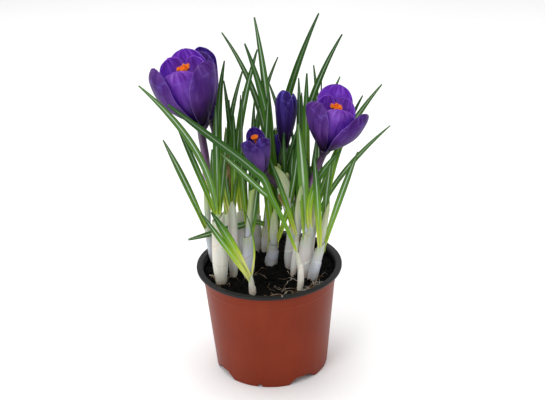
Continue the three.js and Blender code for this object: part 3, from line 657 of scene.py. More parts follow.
def leaf_skin():
    """A crocus leaf: whitish yellow at the foot, yellow-green above it, then deep green, with a
    silver stripe. The UV map counts in decimetres along the leaf, and reach is 1 at its tip."""
    material, tree, shader = new_material("crocus_leaf", Specular_IOR_Level=0.18)
    uv = coordinates(tree, "UV")
    across = axis_of(tree, uv, "X")
    age = noted(tree, "tone")
    reach = noted(tree, "reach")
    lines = along_lines(tree, uv, 26)
    place = calc(tree, "ADD", reach, level(tree, age, 0, 1, -0.08, 0.12))
    colour = shades(tree, place, (0.0, 208, 212, 124), (0.07, 184, 200, 66), (0.17, 146, 182, 38),
                    (0.36, 96, 146, 28), (0.62, 52, 98, 20), (1.0, 34, 70, 24))
    dark_lines = times(tree, level(tree, lines, 0.42, 0.75, 0, 0.45), level(tree, reach, 0, 0.3, 0.4, 1))
    colour = mix(tree, dark_lines, colour, srgb(36, 78, 10))
    colour = mix(tree, level(tree, age, 0.45, 1, 0, 0.45), colour, srgb(110, 152, 72))
    middle = off_centre(tree, across)
    edge = times(tree, level(tree, middle, 0.4, 0.5, 0, 0.6), level(tree, reach, 0.1, 0.5))
    colour = mix(tree, edge, colour, srgb(20, 54, 10))
    shine = times(tree, level(tree, reach, 0.04, 0.35, 0.4, 0.9), level(tree, age, 0.15, 0.6, 0.4, 1))
    stripe = times(tree, level(tree, middle, 0.06, 0.15, 1, 0), shine)
    colour = mix(tree, stripe, colour, srgb(198, 220, 196))
    dress(tree, shader, colour, level(tree, lines, 0.3, 0.7, 0.3, 0.44), lines, 0.0002, 0.5)
    return material


def petal_skin():
    """A violet petal: near black at its foot and up its middle, finely veined, with a painted highlight
    where it curls in and a pale rim. Each side also gets painted shade or painted light, noted on it.
    Young petals are darker and bluer, with painted highlights in streaks along them, and half open
    ones are mauve in their lower half."""
    material, tree, shader = new_material("violet_petal", Specular_IOR_Level=0.05,
                                          Subsurface_Weight=0.35, Subsurface_Scale=0.003,
                                          Subsurface_Radius=(0.45, 0.3, 1))
    uv = coordinates(tree, "UV")
    place = coordinates(tree)
    parts = add(tree, "SeparateXYZ", {0: uv})
    across, along = parts.outputs["X"], parts.outputs["Y"]
    young = noted(tree, "tone")
    veins = along_lines(tree, uv, 44)
    broad = noise_value(tree, stretched(tree, uv, (7, 1.6, 1)), 1, 2)
    clouds = noise_value(tree, place, 70, 2)
    painted_light_and_shade = noted(tree, "painted_light_and_shade")
    colour = shades(tree, broad, (0.3, 102, 48, 152), (0.5, 134, 70, 194), (0.7, 168, 108, 230))
    colour = mix(tree, level(tree, veins, 0.45, 0.68, 0, 0.6), colour, srgb(76, 30, 124))
    colour = mix(tree, level(tree, clouds, 0.5, 0.75, 0, 0.3), colour, srgb(190, 140, 250))
    # Painted shade and painted light: each side of a petal is darkened by its noted level, the backs of
    # the outer petals most.
    shade = ramp(tree, painted_light_and_shade, (0.0, (0.28, 0.27, 0.28, 1)), (1.0, (1, 1, 1, 1)))
    colour = mix(tree, 1, colour, shade, "MULTIPLY")
    colour = mix(tree, level(tree, young, 0, 1, 0, 0.85), colour, srgb(27, 16, 74))
    # Painted highlight on young petals: pale streaks along their length.
    young_highlight_noise = noise_value(tree, stretched(tree, uv, (3, 0.8, 1)), 1, 2, 0.5)
    bright = times(tree, young, level(tree, young_highlight_noise, 0.46, 0.6, 0, 0.65))
    colour = mix(tree, bright, colour, srgb(92, 76, 176))
    # Painted highlight: pale lavender streaks where the petal curls in.
    curl = times(tree, level(tree, along, 0.5, 0.72), level(tree, along, 0.95, 0.8))
    highlight_noise = noise_value(tree, stretched(tree, uv, (2.2, 6, 1)), 1, 2, 0.5)
    painted_highlight = times(tree, curl, level(tree, highlight_noise, 0.54, 0.66, 0, 0.5))
    colour = mix(tree, painted_highlight, colour, srgb(126, 106, 204))
    opening = times(tree, young, level(tree, young, 1, 0.8))
    lower = times(tree, opening, level(tree, along, 0.64, 0.3))
    colour = mix(tree, lower, colour, srgb(120, 86, 160))
    middle = off_centre(tree, across)
    streak = times(tree, level(tree, middle, 0.02, 0.2, 0.75, 0), level(tree, along, 0.3, 0.75, 1, 0))
    colour = mix(tree, streak, colour, srgb(34, 16, 58))
    ragged = calc(tree, "ADD", along, level(tree, veins, 0.3, 0.7, -0.07, 0.07))
    foot = level(tree, ragged, 0.1, 0.42, 1, 0)
    foot = times(tree, foot, level(tree, opening, 0, 1, 1, 0.35))
    colour = mix(tree, foot, colour, srgb(22, 11, 32))
    rim = level(tree, middle, 0.47, 0.5, 0, 0.3)
    colour = mix(tree, rim, colour, srgb(138, 106, 182))
    dress(tree, shader, colour, level(tree, veins, 0.3, 0.7, 0.3, 0.46), veins, 0.00012, 0.5)
    return material


def tube_skin():
    """The flower tube: mauve, darker towards the cup."""
    material, tree, shader = new_material("flower_tube", Specular_IOR_Level=0.45)
    uv = coordinates(tree, "UV")
    lines = along_lines(tree, uv, 14)
    height = axis_of(tree, uv, "Y")
    colour = shades(tree, height, (0.0, 174, 156, 172), (0.3, 108, 70, 112), (0.7, 72, 40, 78),
                    (0.95, 28, 14, 36))
    colour = mix(tree, level(tree, lines, 0.45, 0.7, 0, 0.5), colour, srgb(54, 26, 72))
    young = noted(tree, "tone")
    colour = mix(tree, level(tree, young, 0, 1, 0, 0.9), colour, srgb(44, 28, 44))
    dress(tree, shader, colour, level(tree, lines, 0.3, 0.7, 0.36, 0.5), lines, 0.0001, 0.4)
    return material


def spice(name, deep, bright, scale):
    """The matt, grainy skin of the stigma and of the anthers."""
    material, tree, shader = new_material(name, Specular_IOR_Level=0.3, Roughness=0.75,
                                          Subsurface_Weight=0.15, Subsurface_Scale=0.001)
    place = coordinates(tree)
    grains = noise_value(tree, place, scale, 3, 0.6)
    colour = shades(tree, grains, (0.35, *deep), (0.62, *bright))
    dress(tree, shader, colour, None, grains, 0.0003, 0.6)
    return material


TERRACOTTA = pot_plastic()
BLACK = rim_plastic()
PEAT = peat()
FIBRE = root_fibre()
SHEATH_SKIN = sheath_skin()
INNER_SKIN = inner_skin()
BRACT_SKIN = papery_bract()
WITHERED_SKIN = withered_skin()
LEAF_SKIN = leaf_skin()
PETAL_SKIN = petal_skin()
TUBE_SKIN = tube_skin()
STIGMA_SKIN = spice("orange_stigma", (196, 70, 4), (246, 140, 24), 1500)
ANTHER_SKIN = spice("yellow_anther", (196, 140, 30), (240, 200, 84), 2500)

# ---------------------------------------------------------------- pot


def wall_radius(height):
    return lerp(POT_FOOT_RADIUS, POT_NECK_RADIUS, height / POT_RIM_TOP)


def rounded(outline, radius, steps=3):
    """An outline whose corners are rounded off, by no more than the sides next to them allow."""
    points = []
    corners = [Vector(corner) for corner in outline]
    for before, corner, after in zip(corners[-1:] + corners[:-1], corners, corners[1:] + corners[:1]):
        ends = []
        for other in (before, after):
            side = other - corner
            ends.append(corner + side * min(0.45, radius / side.length))  # share of the side
        points += [quadratic(ends[0], corner, ends[1])(step / steps) for step in range(steps + 1)]
    return points


def pot_section():
    """The pot's wall and floor, cut through from the axis outwards (radius, height)."""
    under_rim = POT_RIM_TOP - POT_RIM_THICKNESS
    channel, disc = POT_CHANNEL_RADIUS, POT_DISC_RADIUS
    high = POT_CHANNEL_HEIGHT

    def inside(height):
        return wall_radius(height) - POT_WALL

    ledge = wall_radius(POT_LEDGE_HEIGHT)
    foot_inside = POT_FOOT_RADIUS - POT_WALL
    outer = [(disc, 0), (channel, high), (foot_inside, high), (foot_inside, 0),
             (POT_FOOT_RADIUS, 0), (ledge, POT_LEDGE_HEIGHT),
             (ledge + POT_LEDGE_STEP, POT_LEDGE_HEIGHT + POT_LEDGE_STEP),
             (wall_radius(under_rim), under_rim),
             (POT_RIM_RADIUS, under_rim), (POT_RIM_RADIUS, POT_RIM_TOP), (POT_MOUTH_RADIUS, POT_RIM_TOP),
             (inside(under_rim), under_rim)]
    inner = [(inside(high), high + POT_FLOOR), (channel + POT_FLOOR / 2, high + POT_FLOOR),
             (disc + POT_FLOOR / 2, POT_FLOOR)]
    middle = [Vector((0, POT_FLOOR)), Vector((0, 0))]
    return rounded(outer + inner, POT_ROUNDING) + middle


def spun(name, section, steps):
    """A ring of points set to a section, and spun round the axis."""
    deselect_all()
    bpy.ops.mesh.primitive_circle_add(vertices=len(section), radius=1, fill_type="NOTHING")
    piece = bpy.context.object
    piece.name = name
    for vertex, (radius, height) in zip(piece.data.vertices, section):
        vertex.co = (radius * MM, 0, height * MM)
    bpy.ops.object.mode_set(mode="EDIT")
    bpy.ops.mesh.select_all(action="SELECT")
    bpy.ops.mesh.spin(steps=steps, angle=math.tau, center=(0, 0, 0), axis=(0, 0, 1))
    bpy.ops.object.mode_set(mode="OBJECT")
    clean(piece, 0.001)
    return piece


def recess_cutter(turn):
    """A block with slanted ends that lifts the pot's lower edge between two feet."""
    deselect_all()
    bpy.ops.mesh.primitive_cube_add(size=1)
    block = bpy.context.object
    below = -1
    for vertex in block.data.vertices:
        span, height = (RECESS_NARROW, RECESS_HEIGHT) if vertex.co.z > 0 else (RECESS_WIDE, below)
        width = POT_FOOT_RADIUS * math.radians(span)
        vertex.co = Vector((vertex.co.x * width, vertex.co.y * CUTTER_REACH, height)) * MM
        vertex.co = Matrix.Rotation(math.radians(turn), 3, "Z") @ (
            vertex.co + Vector((0, -POT_FOOT_RADIUS * MM, 0)))
    return block


def notch_cutter(turn):
    deselect_all()
    bpy.ops.mesh.primitive_cube_add(size=1, location=heading(turn) * POT_FOOT_RADIUS * MM,
                                    rotation=(0, 0, math.radians(turn)),
                                    scale=Vector(NOTCH_SIZE) * MM)
    bpy.ops.object.transform_apply()
    return bpy.context.object


def drain_cutter(turn):
    deselect_all()
    middle = heading(turn) * ((POT_CHANNEL_RADIUS + POT_FOOT_RADIUS) / 2)
    bpy.ops.mesh.primitive_cylinder_add(vertices=24, radius=DRAIN_RADIUS * MM, depth=DRAIN_DEPTH * MM,
                                        location=(middle + Vector((0, 0, POT_CHANNEL_HEIGHT))) * MM)
    bpy.ops.object.transform_apply()
    return bpy.context.object


def is_black(face):
    """The rim is black, and so are the faces inside the wall that point up or in to the axis."""
    middle = face.center / MM
    if middle.z > POT_RIM_TOP - POT_RIM_THICKNESS - 0.05:
        return True
    inside = middle.z > 1 and middle.xy.length < wall_radius(middle.z) - POT_WALL * 0.7
    outwards = face.normal.xy.dot(middle.xy.normalized())
    return inside and (face.normal.z > 0.5 or outwards < -0.5)


def make_pot():
    pot = spun("nursery_pot", pot_section(), 144)
    cutters = []
    for foot in FOOT_TURNS:
        between = foot + 45
        cutters += [notch_cutter(foot), recess_cutter(between)]
        cutters += [drain_cutter(between + aside) for aside in DRAIN_TURNS]
    tool = join("pot_cutters", cutters)
    finish_modifier(pot, "BOOLEAN", operation="DIFFERENCE", solver="EXACT", object=tool)
    bpy.data.objects.remove(tool)
    paint(pot, TERRACOTTA, BLACK)
    for face in pot.data.polygons:
        face.material_index = 1 if is_black(face) else 0
    choose(pot)
    bpy.ops.object.shade_smooth_by_angle(angle=math.radians(35))
    settle(pot, "pot", "pot")


# ---------------------------------------------------------------- soil


def soil_height(x, y):
    waves = 0.5 * math.sin(x / 3.1 + 1) * math.cos(y / 3.7) + 0.4 * math.sin((x - y) / 2.3)
    height = SOIL_LEVEL + waves
    for mound_x, mound_y, rise, radius in MOUNDS:
        height += rise * math.exp(-((x - mound_x) ** 2 + (y - mound_y) ** 2) / radius ** 2)
    return height


def lumpy_height(x, y):
    """The soil with its crumbs: lumps of a few millimetres, and grains on them."""
    lumps = noise.noise(Vector((x, y, 3)) / 3.2)
    grains = noise.noise(Vector((x, y, 9)) / 1.1)
    creases = abs(noise.noise(Vector((x, y, 6)) / 5.5))
    return soil_height(x, y) + 1.5 * lumps + 0.5 * grains - 1.4 * creases


def make_soil():
    edge = wall_radius(SOIL_LEVEL) - POT_WALL - 0.2
    low = POT_CHANNEL_HEIGHT + POT_FLOOR + 0.5

    def place(across, along):
        turn = across * math.tau
        top = min(1, along / 0.9)
        radius = edge * top if along <= 0.9 else edge * (1 - along) / 0.1
        x, y = radius * math.cos(turn), radius * math.sin(turn)
        if along <= 0.9:
            return Vector((x, y, lumpy_height(x, y)))
        return Vector((0.86 * x, 0.86 * y, low))

    soil = shaped_grid("peat_filling", 190, 80, place)
    clean(soil, 0.02)
    paint(soil, PEAT)
    settle(soil, "soil", "soil")


def clear_of_shoots(x, y, distance):
    return all((Vector((x, y)) - Vector(shoot["foot"])).length > shoot["radius"][0] + distance
               for shoot in SHOOTS.values())


def make_crumbs():
    """Loose crumbs of peat, one shape copied with turns and squeezes of its own."""
    deselect_all()
    bpy.ops.mesh.primitive_ico_sphere_add(subdivisions=2, radius=MM)
    first = bpy.context.object
    for vertex in first.data.vertices:
        vertex.co *= 1 + 0.5 * noise.noise(vertex.co / MM * 1.1)
    crumbs = []
    while len(crumbs) < CRUMB_COUNT:
        radius, turn = CRUMB_REACH * math.sqrt(rng.random()), rng.uniform(0, math.tau)
        x, y = radius * math.cos(turn), radius * math.sin(turn)
        if not clear_of_shoots(x, y, 0.4):
            continue
        size = 0.35 + 1.1 * rng.random() ** 3
        crumb = bpy.data.objects.new("crumb", first.data.copy())
        bpy.context.collection.objects.link(crumb)
        spin = Matrix.Rotation(rng.uniform(0, math.tau), 4,
                               Vector((rng.random(), rng.random(), 1)).normalized())
        squeeze = Matrix.Diagonal((size * rng.uniform(0.7, 1.3), size, size * rng.uniform(0.5, 0.9), 1))
        spot = Matrix.Translation(Vector((x, y, lumpy_height(x, y) + 0.25 * size)) * MM)
        crumb.data.transform(spot @ spin @ squeeze)
        crumbs.append(crumb)
    bpy.data.objects.remove(first)
    whole = join("peat_crumbs", crumbs)
    bpy.ops.object.shade_smooth()
    paint(whole, PEAT)
    settle(whole, "soil")


def fibre(points, radius):
    """A thin root along points (x, y, height over the soil)."""
    line = through([(x, y, lumpy_height(x, y) + rise) for x, y, rise in points])
    return closed_tube("fibre", line, lambda along: radius * (1 - 0.5 * along), 6, 5 * len(points),
                       merge=0.002)


def curled_fibre(x, y, length, radius):
    """A root that wanders over the soil from a spot."""
    points = []
    turn = rng.uniform(0, math.tau)
    bend, hop = rng.uniform(-0.45, 0.45), rng.uniform(0.3, 2.4)
    steps = 8
    for step in range(steps + 1):
        points.append((x, y, 0.3 + hop * math.sin(math.pi * step / steps)))
        turn += bend + rng.uniform(-0.2, 0.2)
        x, y = x + length / steps * math.cos(turn), y + length / steps * math.sin(turn)
        if math.hypot(x, y) > ROOT_REACH:
            turn += 2
            x, y = x * 0.93, y * 0.93
    return fibre(points, radius)


def make_fibres():
    """Root threads: a curled tuft at the front right, some at the left, a few all round, and one
    over the rim."""
    fibres = []
    for count, turns, distances, lengths, radii in ROOT_TUFTS:
        for _ in range(count):
            spot = heading(rng.uniform(*turns)) * rng.uniform(*distances)
            fibres.append(curled_fibre(spot.x, spot.y, rng.uniform(*lengths), rng.uniform(*radii)))
    fibres.append(closed_tube("fibre", through(ROOT_OVER_RIM),
                              lambda along: ROOT_OVER_RIM_RADIUS * (1 - 0.3 * along), 6, 24,
                              merge=0.002))
    whole = join("root_fibres", fibres)
    paint(whole, FIBRE)
    settle(whole, "soil")


# ---------------------------------------------------------------- shoots


def sheath_line(shoot):
    """The line of a sheath from just under the soil to its mouth."""
    mouth = Vector(shoot["mouth"])
    ground = Vector((*shoot["foot"], SOIL_LEVEL))
    rise = mouth - ground
    start = ground - rise * (SHEATH_DEPTH / rise.z)
    middle = start.lerp(mouth, 0.5) + Vector((*shoot.get("bend", (0, 0)), 0))
    return quadratic(start, middle, mouth)


def core_line(shoot):
    mouth = Vector(shoot["mouth"])
    along = heading_of(sheath_line(shoot), 1)
    start, bend = mouth - along * SHEATH_POCKET * 0.9, mouth + along * (7 if "core" in shoot else 1)
    end = Vector(shoot["core"][0]) if "core" in shoot else mouth + along * (3 + shoot["cut"][0] / 2)
    return cubic(start, mouth, bend, end)


def sheath_radius(shoot):
    belly, mouth = shoot["radius"]

    def radius(along):
        if along < 0.4:
            return lerp(0.66 * belly, belly, smooth(along, 0.1, 0.4))
        return lerp(belly, mouth, smooth(along, 0.4, 1)) - 0.3 * smooth(along, 0.8, 1)

    return radius


def make_sheath(number, shoot):
    """A white sheath with a slanted, pointed mouth, and a shorter outer scale wrapped round it."""
    line = sheath_line(shoot)
    radius = sheath_radius(shoot)
    cut, turn = shoot["cut"]
    high = heading(turn)
    phase = rng.uniform(0, math.tau)

    def mouth_shape(out, along):
        facing = out.dot(high)
        point = (1 - math.sqrt(max(0, 1 - facing * facing))) * (1 + 0.5 * cut) if facing > 0 else 0
        rise = (cut * facing + point) * smooth(along, 0.7, 1)
        ribs = 0.004 * math.sin(5 * math.atan2(out.y, out.x) + phase)
        return rise, 1 + ribs

    inner = tube(f"sheath_{number}_inner", line, radius, 36, 30, mouth_shape)
    thicken(inner, SHEATH_THICKNESS, -1)
    scale_turn = heading(rng.uniform(-60, 60) + turn)
    reach = rng.uniform(0.5, 0.72)

    def scale_shape(out, along):
        facing = out.dot(scale_turn)
        rise = 3.2 * facing * smooth(along, 0.5, 1)
        return rise, 1 + 0.012 * math.sin(4 * math.atan2(out.y, out.x) + 2 * phase)

    def lower_line(t):
        return line(t * reach)

    scale = tube(f"sheath_{number}_scale", lower_line, lambda along: radius(along * reach) + 0.22,
                 28, 18, scale_shape)
    thicken(scale, SCALE_THICKNESS, -1)
    stretch_uv(scale, 1, 0.6)
    whole = join(f"white_sheath_{number}", [inner, scale])
    note(whole, "tone", shoot.get("cool", 0.35))
    paint(whole, SHEATH_SKIN)
    settle(whole, "sheath", f"sheath_{number}")


def make_inner_sheath(number, shoot):
    line = core_line(shoot)
    inside = shoot["radius"][1] - SHEATH_WALL - SHEATH_GAP
    tip = shoot["core"][1] if "core" in shoot else 0.5 * inside
    neck = 0.3 if "core" in shoot else 0.85

    def radius(along):
        return lerp(inside, tip, smooth(along, neck, 0.5 + neck / 2))

    lean = heading(rng.uniform(-90, 90))

    def mouth_shape(out, along):
        return 1.6 * out.dot(lean) * smooth(along, 0.93, 1), 1

    piece = closed_tube(f"inner_sheath_{number}", line, radius, 20, 26, mouth_shape)
    paint(piece, INNER_SKIN)
    settle(piece, "leaf")


def leaf_line(foot, tip, arch, sway):
    chord = (tip - foot).normalized()
    bulge = square_to(Vector((0, 0, 1)), chord)
    aside = chord.cross(bulge)
    return quadratic(foot, foot.lerp(tip, 0.5) + bulge * arch + aside * sway, tip)


def leaf_width(t, width, narrowing, share):
    taper = math.sqrt(max(0, 1 - smooth(t, narrowing, 1.05) ** 1.5))
    return max(LEAF_TIP_WIDTH * (1 - 0.6 * smooth(t, 0.97, 1)),
               width * lerp(share, 1, smooth(t, 0, 0.5)) * lerp(0.7, 1, smooth(t, -0.04, 0.08)) * taper)


def make_blade(name, line, width, facing, rows=34, low=-0.05, greening=1, narrowing=0.5,
               share=LEAF_FOOT_SHARE):
    """A leaf blade: a silver channel up its middle, two raised halves, and edges that turn down."""
    wave = rng.uniform(0, math.tau)
    twist = LEAF_TWIST * math.sin(width + facing)
    reach = []

    def place(across, along):
        t = lerp(low, 1, along)
        reach.append(max(0, t) ** greening)
        s = 2 * across - 1
        axis = heading_of(line, max(t, 0))
        normal = square_to(heading(facing + twist * max(t, 0)), axis)
        side = axis.cross(normal)
        full = leaf_width(t, width, narrowing, share)
        channel = -0.085 * math.exp(-(s / 0.2) ** 2)
        shoulder = 0.05 * math.cos(math.pi * min(1, abs(abs(s) - 0.5) / 0.5))
        fold = 0.28 * (abs(s) - 0.5) * (1 - smooth(t, 0.05, 0.45))
        ripple = 0.02 * math.sin(9 * t + wave) * s
        rise = full * (channel + shoulder + fold + ripple)
        return beyond(line, t) + side * (s * full / 2) + normal * rise

    blade = shaped_grid(name, 10, rows, place)
    length = sum((line(i / 20) - line((i + 1) / 20)).length for i in range(20))
    stretch_uv(blade, 1, length / 100)
    note(blade, "reach", reach)
    note(blade, "tone", rng.random())
    thicken(blade, LEAF_THICKNESS)
    return blade


def upright_blades(shoot, leaves):
    blades = []
    mouth = Vector(shoot["mouth"])
    for x, y, z, arch, sway, width, facing in leaves:
        tip = Vector((x, y, z))
        lean = Vector((*(tip - mouth).xy, 0)).normalized()
        foot = mouth + lean * (0.72 if "core" in shoot else 0.3) * shoot["radius"][1]
        blades.append(make_blade("blade", leaf_line(foot, tip, arch, sway), width, facing,
                                 greening=shoot.get("greening", 1)))
    return blades


def make_filling(number, leaves):
    whole = join(f"filling_leaves_{number}", upright_blades(SHOOTS[number], leaves))
    paint(whole, LEAF_SKIN)
    settle(whole, "leaf")


def make_leaves(number, shoot):
    blades = upright_blades(shoot, shoot["leaves"])
    for width, share, facing, greening, route in shoot.get("routed", []):
        blades.append(make_blade("blade", through(route), width, facing, 48, -0.04, greening,
                                 0.7, share))
    whole = join(f"green_leaves_{number}", blades)
    paint(whole, LEAF_SKIN)
    settle(whole, "leaf", f"leaves_{number}")


def make_withered_blades():
    blades = [make_blade("blade", through(route), width, 10, 24, 0, 1, 0.3) for width, route in WITHERED]
    whole = join("withered_blades", blades)
    paint(whole, WITHERED_SKIN)
    settle(whole, "leaf")


def make_bracts(number, shoot):
    """The papery bracts at a flower's foot, cupped round its tube."""
    bracts = []
    for foot, tip, arch, sway, width, facing in shoot["bracts"]:
        line = leaf_line(Vector(foot), Vector(tip), arch, sway)

        def place(across, along, line=line, width=width, facing=facing):
            s = 2 * across - 1
            axis = heading_of(line, along)
            normal = square_to(heading(facing), axis)
            full = width * math.sin(math.pi * min(1, 0.18 + 0.82 * along)) ** 0.7 + 0.4
            cup = -0.16 * full * s * s + 0.2 * math.sin(11 * along + 3 * s)
            return line(along) + axis.cross(normal) * (s * full / 2) + normal * cup

        bract = shaped_grid("bract", 10, 22, place)
        thicken(bract, BRACT_THICKNESS)
        bracts.append(bract)
    whole = join(f"papery_bracts_{number}", bracts)
    paint(whole, BRACT_SKIN)
    settle(whole, "leaf")


# ---------------------------------------------------------------- flowers


def flower_frame(flower):
    up = (Vector(flower["top"]) - Vector(flower["throat"])).normalized()
    front = square_to(Vector((0, -1, 0)), up)
    return up, front, up.cross(front)


def in_flower(flower, turn, radius, height):
    """A point in a flower: a turn and a distance from its axis, and a height over its throat."""
    up, front, right = flower_frame(flower)
    angle = math.radians(turn)
    out = front * math.cos(angle) + right * math.sin(angle)
    return Vector(flower["throat"]) + up * height + out * radius


def petal_outline(t, bluntness):
    """A petal's width at a place along it, as a share of its greatest."""
    if t < PETAL_WIDEST:
        return lerp(0.2, 1, math.sin(math.pi / 2 * t / PETAL_WIDEST))
    beyond_widest = (t - PETAL_WIDEST) / (1 - PETAL_WIDEST)
    return max(0.0016, 1 - beyond_widest ** bluntness) ** (1 / bluntness)


def petal_tilt(t, tilts):
    foot, belly, tip = tilts
    if t < PETAL_BELLY:
        return math.radians(lerp(foot, belly, smooth(t, 0.25, PETAL_BELLY)))
    return math.radians(lerp(belly, tip, (t - PETAL_BELLY) / (1 - PETAL_BELLY)))


def petal_path(start, length, tilts):
    """The petal's middle line as (distance from the axis, height, lean), one for each step."""
    steps = 60
    radius, height = start, -1.0
    path = []
    for step in range(steps + 1):
        lean = petal_tilt(step / steps, tilts)
        path.append((radius, height, lean))
        radius += length / steps * math.sin(lean)
        height += length / steps * math.cos(lean)
    return path


def make_petal(flower, petal, outer):
    """A petal, cupped across its width, with a soft crease up its middle and a waved edge."""
    turn, length, width, *tilts = petal
    up, front, right = flower_frame(flower)
    angle = math.radians(turn)
    out = front * math.cos(angle) + right * math.sin(angle)
    side = up.cross(out)
    path = petal_path(flower["tube"] * (1.05 if outer else 0.75), length, tilts)
    wave, ripple = rng.uniform(0, math.tau), rng.uniform(0.5, 1)
    young = flower.get("young", 0)

    def place(across, along):
        t = 1 - (1 - along) ** 1.5
        at = t * (len(path) - 1)
        index = min(int(at), len(path) - 2)
        radius, height, lean = (lerp(a, b, at - index) for a, b in zip(path[index], path[index + 1]))
        s = 2 * across - 1
        normal = out * math.cos(lean) - up * math.sin(lean)
        half = width / 2 * petal_outline(t, flower.get("bluntness", 2.6))
        bend = max(radius, flower.get("hug", 0.5) * width, 2)
        turned = s * half / bend
        crease = -0.35 * math.exp(-(s / 0.16) ** 2) * math.sin(math.pi * min(1, t * 1.1))
        edge = 0.02 * (1 - 0.7 * young) * length * ripple * s * s \
            * smooth(t, 0.35, 0.8) * math.sin(10 * t + 2.2 * s + wave)
        rise = (bend + crease + edge) * math.cos(turned) - bend
        middle = Vector(flower["throat"]) + out * radius + up * height
        return middle + side * ((bend + edge) * math.sin(turned)) + normal * rise

    piece = shaped_grid("petal", 16, 22, place)
    clean(piece, 0.005)
    refine(piece)
    thicken(piece, PETAL_THICKNESS)
    # Painted light and shade: one level for each side of the petal.
    note(piece, "painted_light_and_shade", petal_painted_light_and_shade(piece, out, outer, young))
    return piece


def petal_painted_light_and_shade(piece, out, outer, young):
    """Painted light and shade for each side of a petal: the backs of the outer petals get the
    deepest painted shade, those of the inner ones less, and the insides stay pale, less so in young
    flowers.
    """
    half = len(piece.data.vertices) // 2
    spots = [vertex.co for vertex in piece.data.vertices]
    first_out = sum((spots[i] - spots[i + half]).dot(out) for i in range(half)) > 0
    back, face = (0.02 if outer else 0.6), 1 - 0.9 * young
    first, second = (back, face) if first_out else (face, back)
    return [first] * half + [second] * (len(spots) - half)


def tube_line(flower):
    shoot = SHOOTS[flower["shoot"]]
    seat, below = Vector(shoot["core"][0]), heading_of(core_line(shoot), 1)
    throat = Vector(flower["throat"])
    axis = (Vector(flower["top"]) - throat).normalized()
    rise = 0.4 * (seat - throat).length
    leaving = axis.lerp((throat - seat).normalized(), flower.get("sweep", 0))
    return cubic(seat - below * 5, seat + below * rise, throat - leaving * rise, throat)


def make_tube(name, flower):
    slim, full = flower.get("slim", 0.7) * flower["tube"], flower.get("stout", 1) * flower["tube"]

    def radius(along):
        return lerp(slim, full, smooth(along, 0.2, 0.42)) * (1 + 0.9 * smooth(along, 0.8, 1) ** 2)

    piece = closed_tube(f"flower_tube_{name}", tube_line(flower), radius, 20, 40)
    note(piece, "tone", flower.get("young", 0))
    paint(piece, TUBE_SKIN)
    settle(piece, "petal")


def make_flower(name, flower):
    petals = [make_petal(flower, petal, index < 3) for index, petal in enumerate(flower["petals"])]
    whole = join(f"violet_flower_{name}", petals)
    note(whole, "tone", flower.get("young", 0))
    paint(whole, PETAL_SKIN)
    settle(whole, "petal", f"flower_{name}")


def make_stigma(name, flower):
    """Three rolled, frilled fans on the style, with smaller frills between them."""
    size, top = 1.12 * flower["stigma"], flower["style"] - 0.5
    openness = 1 - 0.5 * flower.get("young", 0)
    aside = flower.get("aside", 0)

    def spot(turn, radius, height):
        return in_flower(flower, turn, radius, height) + flower_frame(flower)[2] * (aside * height / top)

    def style_line(t):
        return spot(0, 0, lerp(-2, top, t))

    def style_radius(along):
        return 0.45 + 0.35 * smooth(along, 0.9, 1)

    pieces = [closed_tube("style", style_line, style_radius, 10, 10)]
    for turn, share in ((30, 1), (150, 1), (270, 1), (90, 0.72), (210, 0.72), (330, 0.72)):
        phase = rng.uniform(0, math.tau)

        def place(across, along, turn=turn, share=share, phase=phase):
            s = 2 * across - 1
            reach = 0.4 + along * 3.6 * share * openness
            spread = math.degrees(s * along * 2.6 / reach)
            frill = along * along * (0.45 * math.sin(9 * s + phase) + 0.3 * math.sin(21 * s + 2 * phase))
            rise = along * 2.6 * (1.5 - 0.4 * share) / openness ** 0.5 + 0.7 * along * abs(s) + frill
            return spot(turn + spread, size * reach, top - 1 + size * rise)

        fan = shaped_grid("fan", 26, 10, place)
        clean(fan, 0.002)
        thicken(fan, STIGMA_THICKNESS)
        pieces.append(fan)
    whole = join(f"orange_stigma_{name}", pieces)
    paint(whole, STIGMA_SKIN)
    settle(whole, "stigma", f"stigma_{name}")


def anther_radius(along):
    """A thin filament up to its joint, and the fuller anther above it."""
    filament, joint = 0.33, 0.44
    if along < joint:
        return filament
    return filament + 0.5 * math.sin(math.pi * min(1, (along - joint) / 0.56)) ** 0.5


def make_stamens(name, flower):
    """Three anthers that swell from their filaments, which stand on one ring."""
    pieces = []
    for turn in (90, 210, 330):
        def line(t, turn=turn):
            return in_flower(flower, turn, 1.3 + 2.7 * t, 0.4 + 18.6 * t)

        pieces.append(closed_tube("anther", line, anther_radius, 12, 40))

    def ring_line(t):
        return in_flower(flower, 0, 0, 0.3 + 1.2 * t)

    ring = tube("ring", ring_line, lambda along: 1.7, 20, 3)
    close_ends(ring)
    pieces.append(ring)
    whole = join(f"yellow_stamens_{name}", pieces)
    paint(whole, ANTHER_SKIN)
    settle(whole, "stamen", f"stamens_{name}")


# ---------------------------------------------------------------- the whole plant

make_pot()
make_soil()
make_crumbs()
make_fibres()
for number, shoot in SHOOTS.items():
    make_sheath(number, shoot)
    make_inner_sheath(number, shoot)
    make_leaves(number, shoot)
    if "bracts" in shoot:
        make_bracts(number, shoot)
for number, leaves in FILLING.items():
    make_filling(number, leaves)
make_withered_blades()
for name, flower in FLOWERS.items():
    make_tube(name, flower)
    make_flower(name, flower)
    if "style" in flower:
        make_stigma(name, flower)
    if "stamens" in flower:
        make_stamens(name, flower)

# ---------------------------------------------------------------- studio, in metres and degrees

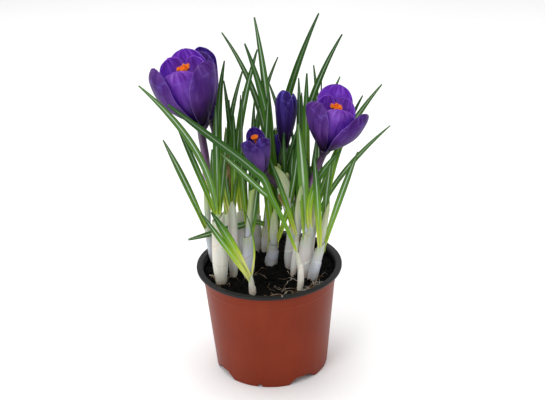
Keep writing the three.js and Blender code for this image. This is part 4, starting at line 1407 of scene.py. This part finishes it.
CAMERA_PLACE = (0, -0.60305, 0.38915)
CAMERA_TURNS = (24.765, -0.303, 1.7)  # pitch, yaw and roll
CAMERA_LENS = 72.66
STUDIO_MIDDLE = (0, 0, 0.12)
FLOOR_GAP = 0.00005


def make_floor():
    material, tree, shader = new_material("studio_floor", Roughness=0.9, Specular_IOR_Level=0.1)
    place = coordinates(tree)
    colour = shades(tree, noise_value(tree, place, 3, 2), (0.3, 244, 244, 244), (0.7, 248, 248, 248))
    dress(tree, shader, colour)
    deselect_all()
    bpy.ops.mesh.primitive_plane_add(size=8, location=(0, 0, -FLOOR_GAP))
    bpy.ops.object.transform_apply()
    floor = bpy.context.object
    floor.name = "studio_floor"
    paint(floor, material)


def make_light(name, spot, size, power):
    deselect_all()
    bpy.ops.object.light_add(type="AREA", location=spot)
    light = bpy.context.object
    light.name = name
    light.data.size = size
    light.data.energy = power
    aim = Vector(STUDIO_MIDDLE) - Vector(spot)
    light.rotation_euler = aim.to_track_quat("-Z", "Y").to_euler()


def make_studio():
    world = bpy.data.worlds.new("studio")
    bpy.context.scene.world = world
    world.use_nodes = True
    sky = world.node_tree.nodes["Background"]
    sky.inputs["Color"].default_value = (1, 1, 1, 1)
    sky.inputs["Strength"].default_value = 0.5
    make_light("top_softbox", (-0.1, 0.25, 1.3), 1.4, 16)
    make_light("key_softbox", (-0.6, -0.8, 0.7), 0.5, 5)
    make_light("fill_softbox", (0.9, -0.5, 0.5), 0.6, 1.5)
    bpy.context.scene.view_settings.view_transform = "Standard"


def make_camera():
    """Looks down at the pot from the front, tipped a little to the side."""
    pitch, yaw, roll = (math.radians(angle) for angle in CAMERA_TURNS)
    turn = Matrix.Rotation(yaw, 3, "Z") @ Matrix.Rotation(math.pi / 2 - pitch, 3, "X") \
        @ Matrix.Rotation(-roll, 3, "Z")
    deselect_all()
    bpy.ops.object.camera_add(location=CAMERA_PLACE, rotation=turn.to_euler())
    camera = bpy.context.object
    camera.name = "studio_camera"
    camera.data.sensor_width = 36
    camera.data.lens = CAMERA_LENS
    camera.data.clip_start = 0.01
    bpy.context.scene.camera = camera


make_floor()
make_studio()
make_camera()
